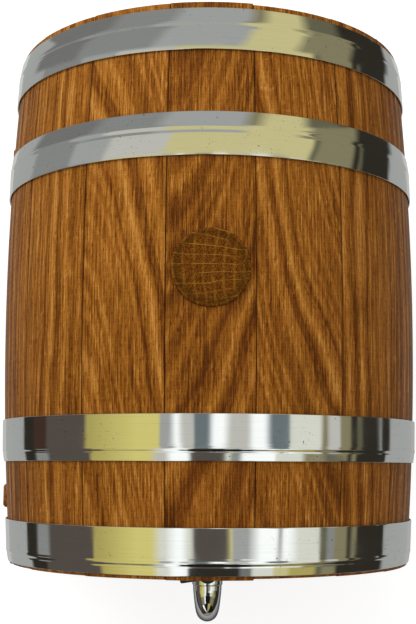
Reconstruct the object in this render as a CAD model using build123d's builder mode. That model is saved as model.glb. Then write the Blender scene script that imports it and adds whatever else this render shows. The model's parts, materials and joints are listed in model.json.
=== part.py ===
"""Oak cask liquor dispenser: a ten-litre cask lying bung-up in a two-saddle stand, with a ball-valve tap.

Millimetres. +Z is up and the tap points along -Y. The origin is on the table, under the middle of the
overall length. The cask's axis runs along Y. Staves, heads, hoops, tap and stand are separate pieces.
"""

from build123d import *

import os
from math import atan2, cos, degrees, radians, sin, sqrt

os.makedirs("parts", exist_ok=True)

# ---------------------------------------------------------------- driving dimensions: cask
cask_length = 316.8  # chime to chime
bilge_radius = 130.0  # outside, at the widest part
barrel_rise = 6.8  # radius lost from the middle to each end
stave_thickness = 20.0
# Stave widths at the bilge, from the bung stave on towards +X. They share the girth in these proportions.
stave_widths = [49.2, 53.0, 45.6, 52.4, 50.6, 53.2, 51.0, 52.0, 50.2, 53.4, 51.6, 50.8, 52.6, 50.6, 50.3, 49.9]
chime_ease = 1.2  # eased outer edge of a stave's end
chime_lip = 11.0  # thickness that the chime bevel leaves at a stave's end
end_step = 0.25  # unit by which the sawn stave ends differ

croze_depth = 4.0
croze_mouth = 8.0
croze_floor = 5.0
head_inset = 13.0  # from a stave's end to the head's outer face
head_thickness = 16.0
head_fit = 0.1  # clearance of a head's rim in its croze
head_boards = 5
side_board_share = 0.865  # an outermost board's width over an inner one's
dowel_radius = 3.0
dowel_length = 30.0
dowel_fit = 0.05
dowel_spread = 40.0  # above and below the cask's axis

# ---------------------------------------------------------------- driving dimensions: hoops
hoop_width = 25.0
hoop_thickness = 0.8
head_hoop_edge = 3.2  # from a stave's end to the head hoop, before the creep
bilge_hoop_edge = 69.9  # from the middle of the cask to the bilge hoop, before the creep
head_hoop_creep = 1.0  # both head hoops were driven this far towards the tap
bilge_hoop_creep = 1.9
hoop_crease = 17.0  # from the hoop's wide edge to its crease
hoop_crease_radius = 9.0
gap_wide = 0.5  # stand-off from the staves at the wide edge, the crease and the tight edge
gap_crease = 0.9
gap_tight = 0.15
lap_length = 32.0
lap_turns = [172, 191, 166, 186]  # each hoop's lap from the top, from the front hoop to the rear one
rivet_radius = 1.9
rivet_head_radius = 3.6
rivet_head_height = 1.1
rivet_head_angle = 30
rivet_fit = 0.05
rivet_first = 4.6  # from the hoop's wide edge to the first rivet
rivet_pitch = 8.0

# ---------------------------------------------------------------- driving dimensions: bung
bung_radius = 21.6  # at its top face
bung_length = 34.0
bung_taper = 2.0  # radius lost over its length
bung_rise = 1.6  # rim of the top face above the crown of the bilge
bung_dome = 0.5
bung_round = 2.2
bung_offset = 6.0  # behind the middle of the cask
bung_fit = 0.1

# ---------------------------------------------------------------- driving dimensions: tap
tap_drop = 68.0  # below the cask's axis
tap_bore = 4.5
shank_radius = 10.0
shank_fit = 0.1
gasket_radius = 15.0
gasket_thickness = 2.5
flange_radius = 16.0
flange_thickness = 4.0
flange_round = 1.2
back_nut_thickness = 8.0
back_nut_flats = 27.0
shank_end = 3.0  # shank past the back nut
neck_radius = 8.6
chamber_start = 14.0  # this and the next two from the head's outer face
stem_reach = 25.0
chamber_end = 35.0
chamber_radius = 10.4
chamber_bore = 8.3
chamber_round = 0.8
ball_radius = 7.0
seat_near = 4.6  # from the stem's axis to the inner face of a seat
seat_reach = 8.0  # from the stem's axis to the outer face of a seat
valve_fit = 0.05
stem_radius = 3.5
stem_collar_radius = 4.6
stem_collar_thickness = 1.2
stem_square = 5.0
tang_width = 2.4
tang_depth = 2.0
stud_radius = 2.0
boss_radius = 6.6
boss_top = 17.0  # this and the next three above the tap's axis
packing_floor = 11.0
packing_top = 14.0
handle_floor = 22.0
packing_radius = 4.9
packing_nut_thickness = 3.5
packing_nut_flats = 13.0

spout_root_radius = 9.8
spout_tip_radius = 7.3
spout_bore = 5.0
spout_bend = 16.5  # radius of the bend's centre line
spout_reach = 54.0  # from the head's outer face to the outlet's axis
spout_drop = 32.0  # from the tap's axis to the outlet
spout_lip = 0.7
spout_lip_height = 3.2

handle_length = 38.0
handle_width = 8.0
handle_corner = 1.4
handle_wing_thickness = 3.2
handle_ease = 0.6
handle_hub_radius = 6.4
handle_hub_height = 6.0
handle_turn = 8.4  # how far the closed handle stands past square to the spout
handle_nut_flats = 7.0
handle_nut_thickness = 3.2
stud_end = 1.4  # stud past the handle nut

# ---------------------------------------------------------------- driving dimensions: stand
axis_height = 175.0  # the cask's axis above the table
saddle_thickness = 16.0
saddle_width = 281.0
saddle_drop = 60.0  # from the cask's axis down to a saddle's top
saddle_gap = 2.2  # between a saddle and the head hoop beside it, before the creep
saddle_offset = 1.6  # the hollows are cut this far from the saddles' middle, towards +X
saddle_corner = 7.0
saddle_ease = 2.2
saddle_fit = 0.3
arch_width = 118.0
arch_height = 13.0
arch_corner = 10.0
rail_thickness = 20.0
rail_height = 36.0
rail_spread = 88.0  # from the middle of the stand to the middle of a rail
rail_end = 12.0  # rail past each saddle
rail_ease = 2.0
lap_depth = 18.0  # depth of the notch in each saddle
joint_fit = 0.1
screw_radius = 2.0
screw_head_radius = 4.0
screw_length = 34.0
screw_sink = 1.0
screw_fit = 0.05

# ---------------------------------------------------------------- places that follow from them
half_length = cask_length / 2
barrel_arc = (half_length**2 + barrel_rise**2) / (2 * barrel_rise)  # radius of the staves' lengthwise curve
tap_reach = spout_reach + spout_tip_radius + spout_lip
cask_y = (tap_reach - head_inset) / 2
cask_centre = Vector(saddle_offset, cask_y, axis_height)
cask_axis = Axis(cask_centre, (0, 1, 0))
head_hoop_wide = half_length - head_hoop_edge - hoop_width  # from the middle of the cask to the head hoop
saddle_middle = head_hoop_wide - saddle_gap - saddle_thickness / 2
saddle_height = axis_height - saddle_drop


def barrel_radius(distance):
    """Outside radius of the staves at a distance from the middle of the cask."""
    return bilge_radius - barrel_arc + sqrt(barrel_arc**2 - distance**2)


def radial_plane(turn):
    """Plane through the cask's axis: local X runs to the rear and local Y outwards, at a turn from the top."""
    return Plane(origin=cask_centre, x_dir=(0, 1, 0), z_dir=(cos(radians(turn)), 0, -sin(radians(turn))))


croze_y = half_length - head_inset - head_thickness / 2
croze_radius = barrel_radius(croze_y) - stave_thickness + croze_depth
bung_centre = cask_centre + Vector(0, bung_offset, bilge_radius + bung_rise)
tap_face = cask_centre + Vector(0, head_inset - half_length, -tap_drop)
tap_axis = Axis(tap_face, (0, -1, 0))
tap_plane = Plane(origin=tap_face, x_dir=(0, -1, 0), z_dir=(-1, 0, 0))  # local X forwards, local Y up
stem_foot = tap_face + Vector(0, -stem_reach, 0)
stem_direction = Vector(cos(radians(handle_turn)), sin(radians(handle_turn)), 0)


def tap_level(reach):
    """Plane square to the tap's axis, facing forwards, at a distance from the head's outer face."""
    return Plane(origin=tap_face + Vector(0, -reach, 0), z_dir=(0, -1, 0))


def stem_level(height):
    """Plane square to the valve stem at a height above the tap's axis, turned with the handle."""
    return Plane(origin=stem_foot + Vector(0, 0, height), x_dir=stem_direction, z_dir=(0, 0, 1))


# ---------------------------------------------------------------- staves
# Each stave is its lengthwise section, turned about the cask's axis over the stave's share of the girth.
start = -180 * stave_widths[0] / sum(stave_widths)
for number, width in enumerate(stave_widths):
    turn = 360 * width / sum(stave_widths)
    end = half_length - end_step * (number * 3 % 4)
    croze_near, croze_far = croze_y - croze_mouth / 2, croze_y + croze_mouth / 2
    rear_profile = [
        (croze_near, barrel_radius(croze_near) - stave_thickness),
        (croze_y - croze_floor / 2, croze_radius),
        (croze_y + croze_floor / 2, croze_radius),
        (croze_far, barrel_radius(croze_far) - stave_thickness),
        (end, barrel_radius(end) - chime_lip),
        (end, barrel_radius(end)),
    ]
    front_profile = [(-x, y) for x, y in rear_profile]
    with BuildPart() as stave:
        with BuildSketch(radial_plane(start)) as section:
            with BuildLine():
                ThreePointArc(front_profile[-1], (0, bilge_radius), rear_profile[-1])
                Polyline(*rear_profile)
                ThreePointArc(front_profile[0], (0, bilge_radius - stave_thickness), rear_profile[0])
                Polyline(*front_profile)
            make_face()
            ends = section.vertices().group_by(Axis.X)
            chamfer([ends[0].sort_by(Axis.Y)[-1], ends[-1].sort_by(Axis.Y)[-1]], length=chime_ease)
        revolve(axis=cask_axis, revolution_arc=turn)
        if number == 0:
            with Locations(bung_centre - Vector(0, 0, bung_length / 2)):
                hole_foot = bung_radius - bung_taper + bung_fit
                Cone(hole_foot, bung_radius + bung_fit, bung_length, mode=Mode.SUBTRACT)
    stave.part.label = "bung_stave" if number == 0 else f"stave_{number + 1:02d}"
    export_step(stave.part, f"parts/{stave.part.label}.step")
    start += turn

# ---------------------------------------------------------------- bung
with BuildPart() as bung:
    with BuildSketch(Plane(origin=bung_centre, x_dir=(1, 0, 0), z_dir=(0, -1, 0))) as section:
        with BuildLine():
            ThreePointArc((0, bung_dome), (bung_radius / 2, bung_dome * 3 / 4), (bung_radius, 0))
            Polyline((bung_radius, 0), (bung_radius - bung_taper, -bung_length), (0, -bung_length), (0, bung_dome))
        make_face()
        fillet(section.vertices().sort_by(Axis.X)[-1], radius=bung_round)
    revolve(axis=Axis(bung_centre, (0, 0, 1)))
    chamfer(bung.edges().group_by(Axis.Z)[0], length=bung_round / 2)
bung.part.label = "bung"
export_step(bung.part, "parts/bung.step")

# ---------------------------------------------------------------- heads
# A head is boards dowelled edge to edge and turned to a disc, whose bevelled rim sits in the croze.
rim = croze_radius - head_fit
tongue = croze_floor / 2 - head_fit
bevel = (croze_mouth - croze_floor) / 2 / croze_depth
shoulder = rim - (head_thickness / 2 - tongue) / bevel
head_section = [
    (-head_thickness / 2, 0),
    (-head_thickness / 2, shoulder),
    (-tongue, rim),
    (tongue, rim),
    (head_thickness / 2, shoulder),
    (head_thickness / 2, 0),
]
board_width = 2 * rim / (head_boards - 2 + 2 * side_board_share)
board_seams = [(index - head_boards / 2) * board_width for index in range(1, head_boards)]
board_edges = [-rim, *board_seams, rim]
dowel_spots = [(x, z) for x in board_seams for z in (-dowel_spread, dowel_spread)]

for end_name, side in (("front", -1), ("rear", 1)):
    head_centre = cask_centre + Vector(0, side * croze_y, 0)
    dowel_places = [head_centre + Vector(x, 0, z) for x, z in dowel_spots]
    for index in range(head_boards):
        low, high = board_edges[index], board_edges[index + 1]
        with BuildPart() as board:
            with BuildSketch(Plane(origin=head_centre, x_dir=(0, 1, 0), z_dir=(1, 0, 0))):
                with BuildLine():
                    Polyline(*head_section, close=True)
                make_face()
            revolve(axis=cask_axis)
            with Locations(head_centre + Vector((low + high) / 2, 0, 0)):
                Box(high - low, head_thickness, 2 * rim, mode=Mode.INTERSECT)
            with Locations(*dowel_places):
                Cylinder(dowel_radius, dowel_length, rotation=(0, 90, 0), mode=Mode.SUBTRACT)
            if side < 0 and low < 0 < high:
                with BuildSketch(tap_level(0)):
                    Circle(shank_radius + shank_fit)
                extrude(amount=-head_thickness, mode=Mode.SUBTRACT)
        board.part.label = f"{end_name}_head_board_{index + 1}"
        export_step(board.part, f"parts/{board.part.label}.step")

    with BuildPart() as dowels:
        with Locations(*dowel_places):
            Cylinder(dowel_radius - dowel_fit, dowel_length - 2 * dowel_fit, rotation=(0, 90, 0))
    dowels.part.label = f"{end_name}_head_dowels"
    export_step(dowels.part, f"parts/{dowels.part.label}.step")

# ---------------------------------------------------------------- hoops
# Name, end of the cask, wide edge's distance from its middle, and turn of the lap from the top.
hoops = [
    ("front_head_hoop", -1, head_hoop_wide + head_hoop_creep, lap_turns[0]),
    ("front_bilge_hoop", -1, bilge_hoop_edge + bilge_hoop_creep, lap_turns[1]),
    ("rear_bilge_hoop", 1, bilge_hoop_edge - bilge_hoop_creep, lap_turns[2]),
    ("rear_head_hoop", 1, head_hoop_wide - head_hoop_creep, lap_turns[3]),
]


def hoop_stations(wide_edge):
    """The band's inner side at its wide edge, crease and tight edge, as (distance, radius)."""
    steps = ((0, gap_wide), (hoop_crease, gap_crease), (hoop_width, gap_tight))
    return [(wide_edge + step, barrel_radius(wide_edge + step) + gap) for step, gap in steps]


def rivet_planes(side, wide_edge, turn):
    """Planes on the outside of a hoop's lap, square to each of its rivets."""
    (y0, r0), (y1, r1) = hoop_stations(wide_edge)[:2]
    lean = atan2(r1 - r0, y1 - y0)
    outwards = Vector(sin(radians(turn)), 0, cos(radians(turn)))
    along = Vector(0, side, 0)
    normal = outwards * cos(lean) - along * sin(lean)
    first = cask_centre + outwards * r0 + along * y0 + normal * (2 * hoop_thickness)
    downhill = along * cos(lean) + outwards * sin(lean)
    return [Plane(origin=first + downhill * reach, z_dir=normal) for reach in (rivet_first, rivet_first + rivet_pitch)]


for hoop_name, side, wide_edge, lap_turn in hoops:
    lap_arc = degrees(lap_length / bilge_radius)
    with BuildPart() as hoop:
        # The band itself, then its overlapping end, one thickness further out.
        for lift, start, turn in ((0, 0, 360), (hoop_thickness, lap_turn - lap_arc / 2, lap_arc)):
            inner = [(side * y, radius + lift) for y, radius in hoop_stations(wide_edge)]
            outer = [(y, radius + hoop_thickness) for y, radius in inner]
            with BuildSketch(radial_plane(start)) as section:
                with BuildLine():
                    Polyline(*inner, *reversed(outer), close=True)
                make_face()
                creases = section.vertices().sort_by(Axis.X)[2:4].sort_by(Axis.Y)
                for depth, corner in enumerate(creases):
                    fillet(corner, radius=hoop_crease_radius + lift + depth * hoop_thickness)
            revolve(axis=cask_axis, revolution_arc=turn)
        for plane in rivet_planes(side, wide_edge, lap_turn):
            with BuildSketch(plane):
                Circle(rivet_radius + rivet_fit)
            extrude(amount=-3 * hoop_thickness, mode=Mode.SUBTRACT)
    hoop.part.label = hoop_name
    export_step(hoop.part, f"parts/{hoop_name}.step")

with BuildPart() as hoop_rivets:
    for hoop_name, side, wide_edge, lap_turn in hoops:
        for plane in rivet_planes(side, wide_edge, lap_turn):
            with BuildSketch(plane):
                Circle(rivet_radius)
            extrude(amount=-2 * hoop_thickness)
            with BuildSketch(plane):
                Circle(rivet_head_radius)
            extrude(amount=rivet_head_height, taper=rivet_head_angle)
hoop_rivets.part.label = "hoop_rivets"
export_step(hoop_rivets.part, "parts/hoop_rivets.step")

# ---------------------------------------------------------------- tap: body
# Shank, flange, neck and valve chamber are turned in one, with the stem's boss on top.
nut_start = -(head_thickness + gasket_thickness)
shank_start = nut_start - back_nut_thickness - shank_end
flange_end = gasket_thickness + flange_thickness
seat_start, seat_end = stem_reach - seat_reach, stem_reach + seat_reach
collar_floor = ball_radius + valve_fit
collar_top = collar_floor + stem_collar_thickness

with BuildPart() as tap_body:
    with BuildSketch(tap_plane) as section:
        with BuildLine():
            Polyline(
                (shank_start, 0),
                (shank_start, shank_radius),
                (gasket_thickness, shank_radius),
                (gasket_thickness, flange_radius),
                (flange_end, flange_radius),
                (flange_end, neck_radius),
                (chamber_start + neck_radius - chamber_radius, neck_radius),
                (chamber_start, chamber_radius),
                (chamber_end, chamber_radius),
                (chamber_end, 0),
                close=True,
            )
        make_face()
        fillet(section.vertices().group_by(Axis.Y)[-1], radius=flange_round)
        fillet(section.vertices().sort_by(Axis.X)[-2:].sort_by(Axis.Y)[-1], radius=chamber_round)
    revolve(axis=tap_axis)
    with BuildSketch(stem_level(0)):
        Circle(boss_radius)
    extrude(amount=boss_top)
    with BuildSketch(tap_plane):
        with Locations((shank_start, 0)):
            Rectangle(chamber_end - shank_start, tap_bore, align=Align.MIN)
        with Locations((seat_start, 0)):
            Rectangle(chamber_end - seat_start, chamber_bore, align=Align.MIN)
    revolve(axis=tap_axis, mode=Mode.SUBTRACT)
    for floor, top, radius in (
        (0, boss_top, stem_radius),
        (0, collar_top, stem_collar_radius),
        (packing_floor, boss_top, packing_radius),
    ):
        with BuildSketch(stem_level(floor)):
            Circle(radius + valve_fit)
        extrude(amount=top - floor, mode=Mode.SUBTRACT)
tap_body.part.label = "tap_body"
export_step(tap_body.part, "parts/tap_body.step")

# ---------------------------------------------------------------- tap: spout
# The spout tapers all the way round its bend, from a spigot in the chamber to the downward outlet.
bend_start = spout_reach - spout_bend
bend_axis = Axis(tap_face + Vector(0, -bend_start, -spout_bend), (1, 0, 0))
bend_foot = Plane(origin=tap_face + Vector(0, -spout_reach, -spout_bend), z_dir=(0, 0, -1))
straight = spout_drop - spout_bend

with BuildPart() as tap_spout:
    with BuildLine(tap_plane):
        ThreePointArc(
            (bend_start, 0),
            (bend_start + spout_bend * sin(radians(45)), spout_bend * cos(radians(45)) - spout_bend),
            (spout_reach, -spout_bend),
        )
    with BuildSketch(tap_level(bend_start)):
        Circle(spout_root_radius)
    with BuildSketch(bend_foot):
        Circle(spout_tip_radius)
    sweep(multisection=True)
    with BuildSketch(bend_foot):
        Circle(spout_tip_radius)
    extrude(amount=straight)
    with BuildSketch(bend_foot.offset(straight - spout_lip_height)):
        Circle(spout_tip_radius + spout_lip)
    extrude(amount=spout_lip_height)
    lip_edges = tap_spout.edges().filter_by(GeomType.CIRCLE).sort_by(Axis.Z)
    fillet(lip_edges.filter_by(lambda edge: edge.radius > spout_tip_radius + spout_lip / 2)[:2], spout_lip / 2)
    with BuildSketch(tap_plane):
        with Locations((chamber_end, 0)):
            Rectangle(bend_start - chamber_end, spout_root_radius, align=Align.MIN)
        with Locations((seat_end, 0)):
            Rectangle(bend_start - seat_end, chamber_bore - valve_fit, align=Align.MIN)
    revolve(axis=tap_axis)
    with BuildSketch(tap_level(seat_end)):
        Circle(spout_bore)
    extrude(amount=bend_start - seat_end, mode=Mode.SUBTRACT)
    with BuildSketch(tap_level(bend_start)):
        Circle(spout_bore)
    revolve(axis=bend_axis, revolution_arc=90, mode=Mode.SUBTRACT)
    with BuildSketch(bend_foot):
        Circle(spout_bore)
    extrude(amount=straight, mode=Mode.SUBTRACT)
tap_spout.part.label = "tap_spout"
export_step(tap_spout.part, "parts/tap_spout.step")

# ---------------------------------------------------------------- tap: gaskets and back nut
for gasket_name, gasket_start in (("tap_outer_gasket", 0), ("tap_inner_gasket", nut_start)):
    with BuildPart() as gasket:
        with BuildSketch(tap_level(gasket_start)):
            Circle(gasket_radius)
            Circle(shank_radius, mode=Mode.SUBTRACT)
        extrude(amount=gasket_thickness)
    gasket.part.label = gasket_name
    export_step(gasket.part, f"parts/{gasket_name}.step")

with BuildPart() as tap_back_nut:
    with BuildSketch(tap_level(nut_start)):
        RegularPolygon(back_nut_flats / 2, 6, major_radius=False)
        Circle(shank_radius, mode=Mode.SUBTRACT)
    extrude(amount=-back_nut_thickness)
tap_back_nut.part.label = "tap_back_nut"
export_step(tap_back_nut.part, "parts/tap_back_nut.step")

# ---------------------------------------------------------------- tap: valve
with BuildPart() as valve_ball:
    with Locations(stem_foot):
        Sphere(ball_radius)
    with BuildSketch(Plane(origin=stem_foot, z_dir=stem_direction)):
        Circle(tap_bore)
    extrude(amount=ball_radius, both=True, mode=Mode.SUBTRACT)
    with BuildSketch(stem_level(ball_radius - tang_depth)):
        Rectangle(2 * ball_radius, tang_width)
    extrude(amount=tang_depth, mode=Mode.SUBTRACT)
valve_ball.part.label = "valve_ball"
export_step(valve_ball.part, "parts/valve_ball.step")

with BuildPart() as valve_seats:
    for side in (-1, 1):
        with BuildSketch(tap_level(stem_reach + side * seat_near)):
            Circle(chamber_bore - valve_fit)
            Circle(tap_bore, mode=Mode.SUBTRACT)
        extrude(amount=side * (seat_reach - seat_near))
    with Locations(stem_foot):
        Sphere(ball_radius + valve_fit, mode=Mode.SUBTRACT)
valve_seats.part.label = "valve_seats"
export_step(valve_seats.part, "parts/valve_seats.step")

with BuildPart() as valve_stem:
    with BuildSketch(stem_level(ball_radius - tang_depth + valve_fit)):
        Rectangle(2 * stem_radius, tang_width - 2 * valve_fit)
        Circle(stem_radius, mode=Mode.INTERSECT)
    extrude(amount=tang_depth)
    with BuildSketch(stem_level(collar_floor)):
        Circle(stem_collar_radius)
    extrude(amount=stem_collar_thickness - valve_fit)
    with BuildSketch(stem_level(collar_floor)):
        Circle(stem_radius)
    extrude(amount=handle_floor - collar_floor)
    with BuildSketch(stem_level(handle_floor)):
        Rectangle(stem_square, stem_square)
        Circle(stem_radius, mode=Mode.INTERSECT)
    extrude(amount=handle_hub_height)
    with BuildSketch(stem_level(handle_floor + handle_hub_height)):
        Circle(stud_radius)
    extrude(amount=handle_nut_thickness + stud_end)
valve_stem.part.label = "valve_stem"
export_step(valve_stem.part, "parts/valve_stem.step")

with BuildPart() as stem_packing:
    with BuildSketch(stem_level(packing_floor)):
        Circle(packing_radius)
        Circle(stem_radius + valve_fit, mode=Mode.SUBTRACT)
    extrude(amount=packing_top - packing_floor)
stem_packing.part.label = "stem_packing"
export_step(stem_packing.part, "parts/stem_packing.step")

with BuildPart() as packing_nut:
    with BuildSketch(stem_level(packing_top)):
        Circle(packing_radius)
    extrude(amount=boss_top - packing_top)
    with BuildSketch(stem_level(boss_top)):
        RegularPolygon(packing_nut_flats / 2, 6, major_radius=False)
    extrude(amount=packing_nut_thickness)
    with BuildSketch(stem_level(packing_top)):
        Circle(stem_radius + valve_fit)
    extrude(amount=boss_top - packing_top + packing_nut_thickness, mode=Mode.SUBTRACT)
packing_nut.part.label = "packing_nut"
export_step(packing_nut.part, "parts/packing_nut.step")

# ---------------------------------------------------------------- tap: handle
with BuildPart() as tap_handle:
    with BuildSketch(stem_level(handle_floor)):
        RectangleRounded(handle_length, handle_width, handle_corner)
    extrude(amount=handle_wing_thickness)
    fillet(tap_handle.edges().group_by(Axis.Z)[-1], radius=handle_ease)
    with BuildSketch(stem_level(handle_floor)):
        Circle(handle_hub_radius)
    extrude(amount=handle_hub_height)
    fillet(tap_handle.edges().group_by(Axis.Z)[-1], radius=handle_ease)
    with BuildSketch(stem_level(handle_floor)):
        Rectangle(stem_square, stem_square)
        Circle(stem_radius, mode=Mode.INTERSECT)
    extrude(amount=handle_hub_height, mode=Mode.SUBTRACT)
tap_handle.part.label = "tap_handle"
export_step(tap_handle.part, "parts/tap_handle.step")

with BuildPart() as handle_nut:
    with BuildSketch(stem_level(handle_floor + handle_hub_height)):
        RegularPolygon(handle_nut_flats / 2, 6, major_radius=False)
        Circle(stud_radius, mode=Mode.SUBTRACT)
    extrude(amount=handle_nut_thickness)
handle_nut.part.label = "handle_nut"
export_step(handle_nut.part, "parts/handle_nut.step")

# ---------------------------------------------------------------- stand: saddles
# Cross boards hollowed to the cask, arched underneath, and notched from below for the rails.
foot_up = (Align.CENTER, Align.CENTER, Align.MIN)
screw_spots = [-rail_spread, rail_spread]

for saddle_name, side in (("front_saddle", -1), ("rear_saddle", 1)):
    middle = side * saddle_middle
    saddle_face = cask_y + middle + saddle_thickness / 2
    with BuildPart() as saddle:
        with BuildSketch(Plane(origin=(0, saddle_face, 0), x_dir=(1, 0, 0), z_dir=(0, -1, 0))) as board:
            with Locations((0, saddle_height / 2)):
                Rectangle(saddle_width, saddle_height)
            fillet(board.vertices().group_by(Axis.Y)[-1], radius=saddle_corner)
            with Locations((0, arch_height / 2)):
                Rectangle(arch_width, arch_height, mode=Mode.SUBTRACT)
            fillet(board.vertices().group_by(Axis.Y)[1], radius=arch_corner)
            with Locations(*[(x, lap_depth / 2) for x in screw_spots]):
                Rectangle(rail_thickness + 2 * joint_fit, lap_depth, mode=Mode.SUBTRACT)
        extrude(amount=saddle_thickness)
        ends = saddle.edges().filter_by(Axis.Z).group_by(Axis.X)
        fillet([*ends[0], *ends[-1]], radius=saddle_ease)
        with BuildSketch(radial_plane(180)):
            with BuildLine():
                stations = [middle - saddle_thickness, middle, middle + saddle_thickness]
                hollow = ThreePointArc(*[(y, barrel_radius(y) + saddle_fit) for y in stations])
                Polyline(hollow @ 1, (stations[-1], 0), (stations[0], 0), hollow @ 0)
            make_face()
        revolve(axis=cask_axis, mode=Mode.SUBTRACT)
        with Locations(*[(x, cask_y + middle, 0) for x in screw_spots]):
            Cylinder(screw_radius + screw_fit, screw_length + screw_sink, align=foot_up, mode=Mode.SUBTRACT)
    saddle.part.label = saddle_name
    export_step(saddle.part, f"parts/{saddle_name}.step")

# ---------------------------------------------------------------- stand: rails and screws
# Lengthwise rails, notched from above where they cross the saddles and drilled for countersunk screws.
rail_length = 2 * (saddle_middle + saddle_thickness / 2 + rail_end)
crossings = [cask_y - saddle_middle, cask_y + saddle_middle]
head_depth = screw_head_radius - screw_radius

for rail_name, rail_x in (("left_rail", -rail_spread), ("right_rail", rail_spread)):
    with BuildPart() as rail:
        with Locations((rail_x, cask_y, 0)):
            Box(rail_thickness, rail_length, rail_height, align=foot_up)
        chamfer(rail.edges().filter_by(Axis.Z), length=rail_ease)
        chamfer(rail.edges().filter_by(Axis.Y).group_by(Axis.Z)[-1], length=rail_ease)
        with Locations(*[(rail_x, y, lap_depth) for y in crossings]):
            notch_length = saddle_thickness + 2 * joint_fit
            Box(rail_thickness, notch_length, rail_height - lap_depth, align=foot_up, mode=Mode.SUBTRACT)
        with Locations(*[(rail_x, y, 0) for y in crossings]):
            Cylinder(screw_radius + screw_fit, lap_depth, align=foot_up, mode=Mode.SUBTRACT)
            Cone(
                screw_head_radius + screw_sink + screw_fit,
                screw_radius + screw_fit,
                head_depth + screw_sink,
                align=foot_up,
                mode=Mode.SUBTRACT,
            )
    rail.part.label = rail_name
    export_step(rail.part, f"parts/{rail_name}.step")

with BuildPart() as stand_screws:
    with Locations(*[(x, y, screw_sink) for x in screw_spots for y in crossings]):
        Cylinder(screw_radius, screw_length, align=foot_up)
        Cone(screw_head_radius, screw_radius, head_depth, align=foot_up)
stand_screws.part.label = "stand_screws"
export_step(stand_screws.part, "parts/stand_screws.step")
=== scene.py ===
"""Oak cask liquor dispenser: the finishes and fine forms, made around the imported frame.

Metres. +Z is up, the cask's axis runs along Y and the tap points along -Y. The classes follow the object:
barrel, heads, hoops, bung, tap and stand, with one finish for each real material.
"""

import json
import logging
import random
from collections.abc import Callable, Iterable, Sequence
from dataclasses import dataclass, field
from enum import Enum
from functools import partial
from math import atan2, cos, pi, radians, sin, tan, tau

import bmesh
import bpy
import numpy as np
from mathutils import Matrix, Vector


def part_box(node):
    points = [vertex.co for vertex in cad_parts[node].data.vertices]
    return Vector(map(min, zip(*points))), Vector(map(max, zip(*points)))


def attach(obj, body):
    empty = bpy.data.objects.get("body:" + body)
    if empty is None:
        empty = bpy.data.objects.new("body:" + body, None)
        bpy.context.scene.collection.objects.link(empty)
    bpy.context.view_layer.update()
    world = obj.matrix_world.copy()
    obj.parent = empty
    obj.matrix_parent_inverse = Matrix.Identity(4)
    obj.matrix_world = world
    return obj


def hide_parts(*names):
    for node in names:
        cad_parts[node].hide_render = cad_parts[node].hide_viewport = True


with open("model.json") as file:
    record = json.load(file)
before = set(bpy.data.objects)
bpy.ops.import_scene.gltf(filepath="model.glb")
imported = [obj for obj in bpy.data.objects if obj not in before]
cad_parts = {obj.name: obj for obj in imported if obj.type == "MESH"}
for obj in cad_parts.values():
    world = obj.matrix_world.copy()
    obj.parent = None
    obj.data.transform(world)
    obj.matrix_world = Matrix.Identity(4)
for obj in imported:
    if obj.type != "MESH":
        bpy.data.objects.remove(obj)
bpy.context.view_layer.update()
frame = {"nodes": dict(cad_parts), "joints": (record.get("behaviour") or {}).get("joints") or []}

LOG = logging.getLogger("cask")
MM = 0.001
SHARP = radians(38)  # faces that meet at more than this keep a crisp edge
CORNER = radians(28)  # edges that bend more than this get broken
FACET = radians(0.6)  # CAD facets that meet at less than this lie in one plane
WELD = 0.002 * MM  # vertices nearer than this are one
UNSEAMED = 1.0  # edge distance written where a piece has no seam near by
MOST_OF_SIDE = 0.48  # share of a side that one rounded corner may take
ROUND = 96  # points round a turned piece
WIDE_ROUND = 128  # points round a wide one

Piece = bpy.types.Object
Material = bpy.types.Material
Tree = bpy.types.NodeTree
Node = bpy.types.Node
Socket = bpy.types.NodeSocket
Point = tuple[float, ...]
Pair = tuple[float, float]
Lengths = float | np.ndarray
Skin = tuple[np.ndarray, list[list[int]]]  # vertices and faces
Colour = tuple[float, float, float, float]


class Axis(Enum):
    """The frame's directions, as unit vectors."""

    X = (1.0, 0.0, 0.0)
    Y = (0.0, 1.0, 0.0)
    Z = (0.0, 0.0, 1.0)
    FRONT = (0.0, -1.0, 0.0)
    DOWN = (0.0, 0.0, -1.0)

    @property
    def vector(self) -> Vector:
        """The direction as a vector."""
        return Vector(self.value)


class End(Enum):
    """An end of the cask, as the sign of its side along Y."""

    FRONT = -1
    REAR = 1

    @property
    def label(self) -> str:
        """The end's name as the nodes spell it."""
        return self.name.lower()


# ---------------- colour and nodes

MATH = "ShaderNodeMath"
VECTOR = "ShaderNodeVectorMath"
SPAN = "ShaderNodeMapRange"
NOISE = "ShaderNodeTexNoise"
RAMP = "ShaderNodeValToRGB"
MIX = "ShaderNodeMix"
MIX_A, MIX_B = 6, 7  # the colour inputs of a Mix node
RAMP_STOPS = 32  # as many as a colour ramp holds


def linear(colour: str) -> Colour:
    """Turn an sRGB hex colour into linear RGBA.

    Args:
        colour: six hex digits after a "#".

    Returns:
        The linear red, green and blue, and an alpha of 1.
    """
    parts = [int(colour[at : at + 2], 16) / 255 for at in (1, 3, 5)]
    parts = [part / 12.92 if part <= 0.04045 else ((part + 0.055) / 1.055) ** 2.4 for part in parts]
    return (*parts, 1.0)


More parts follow.
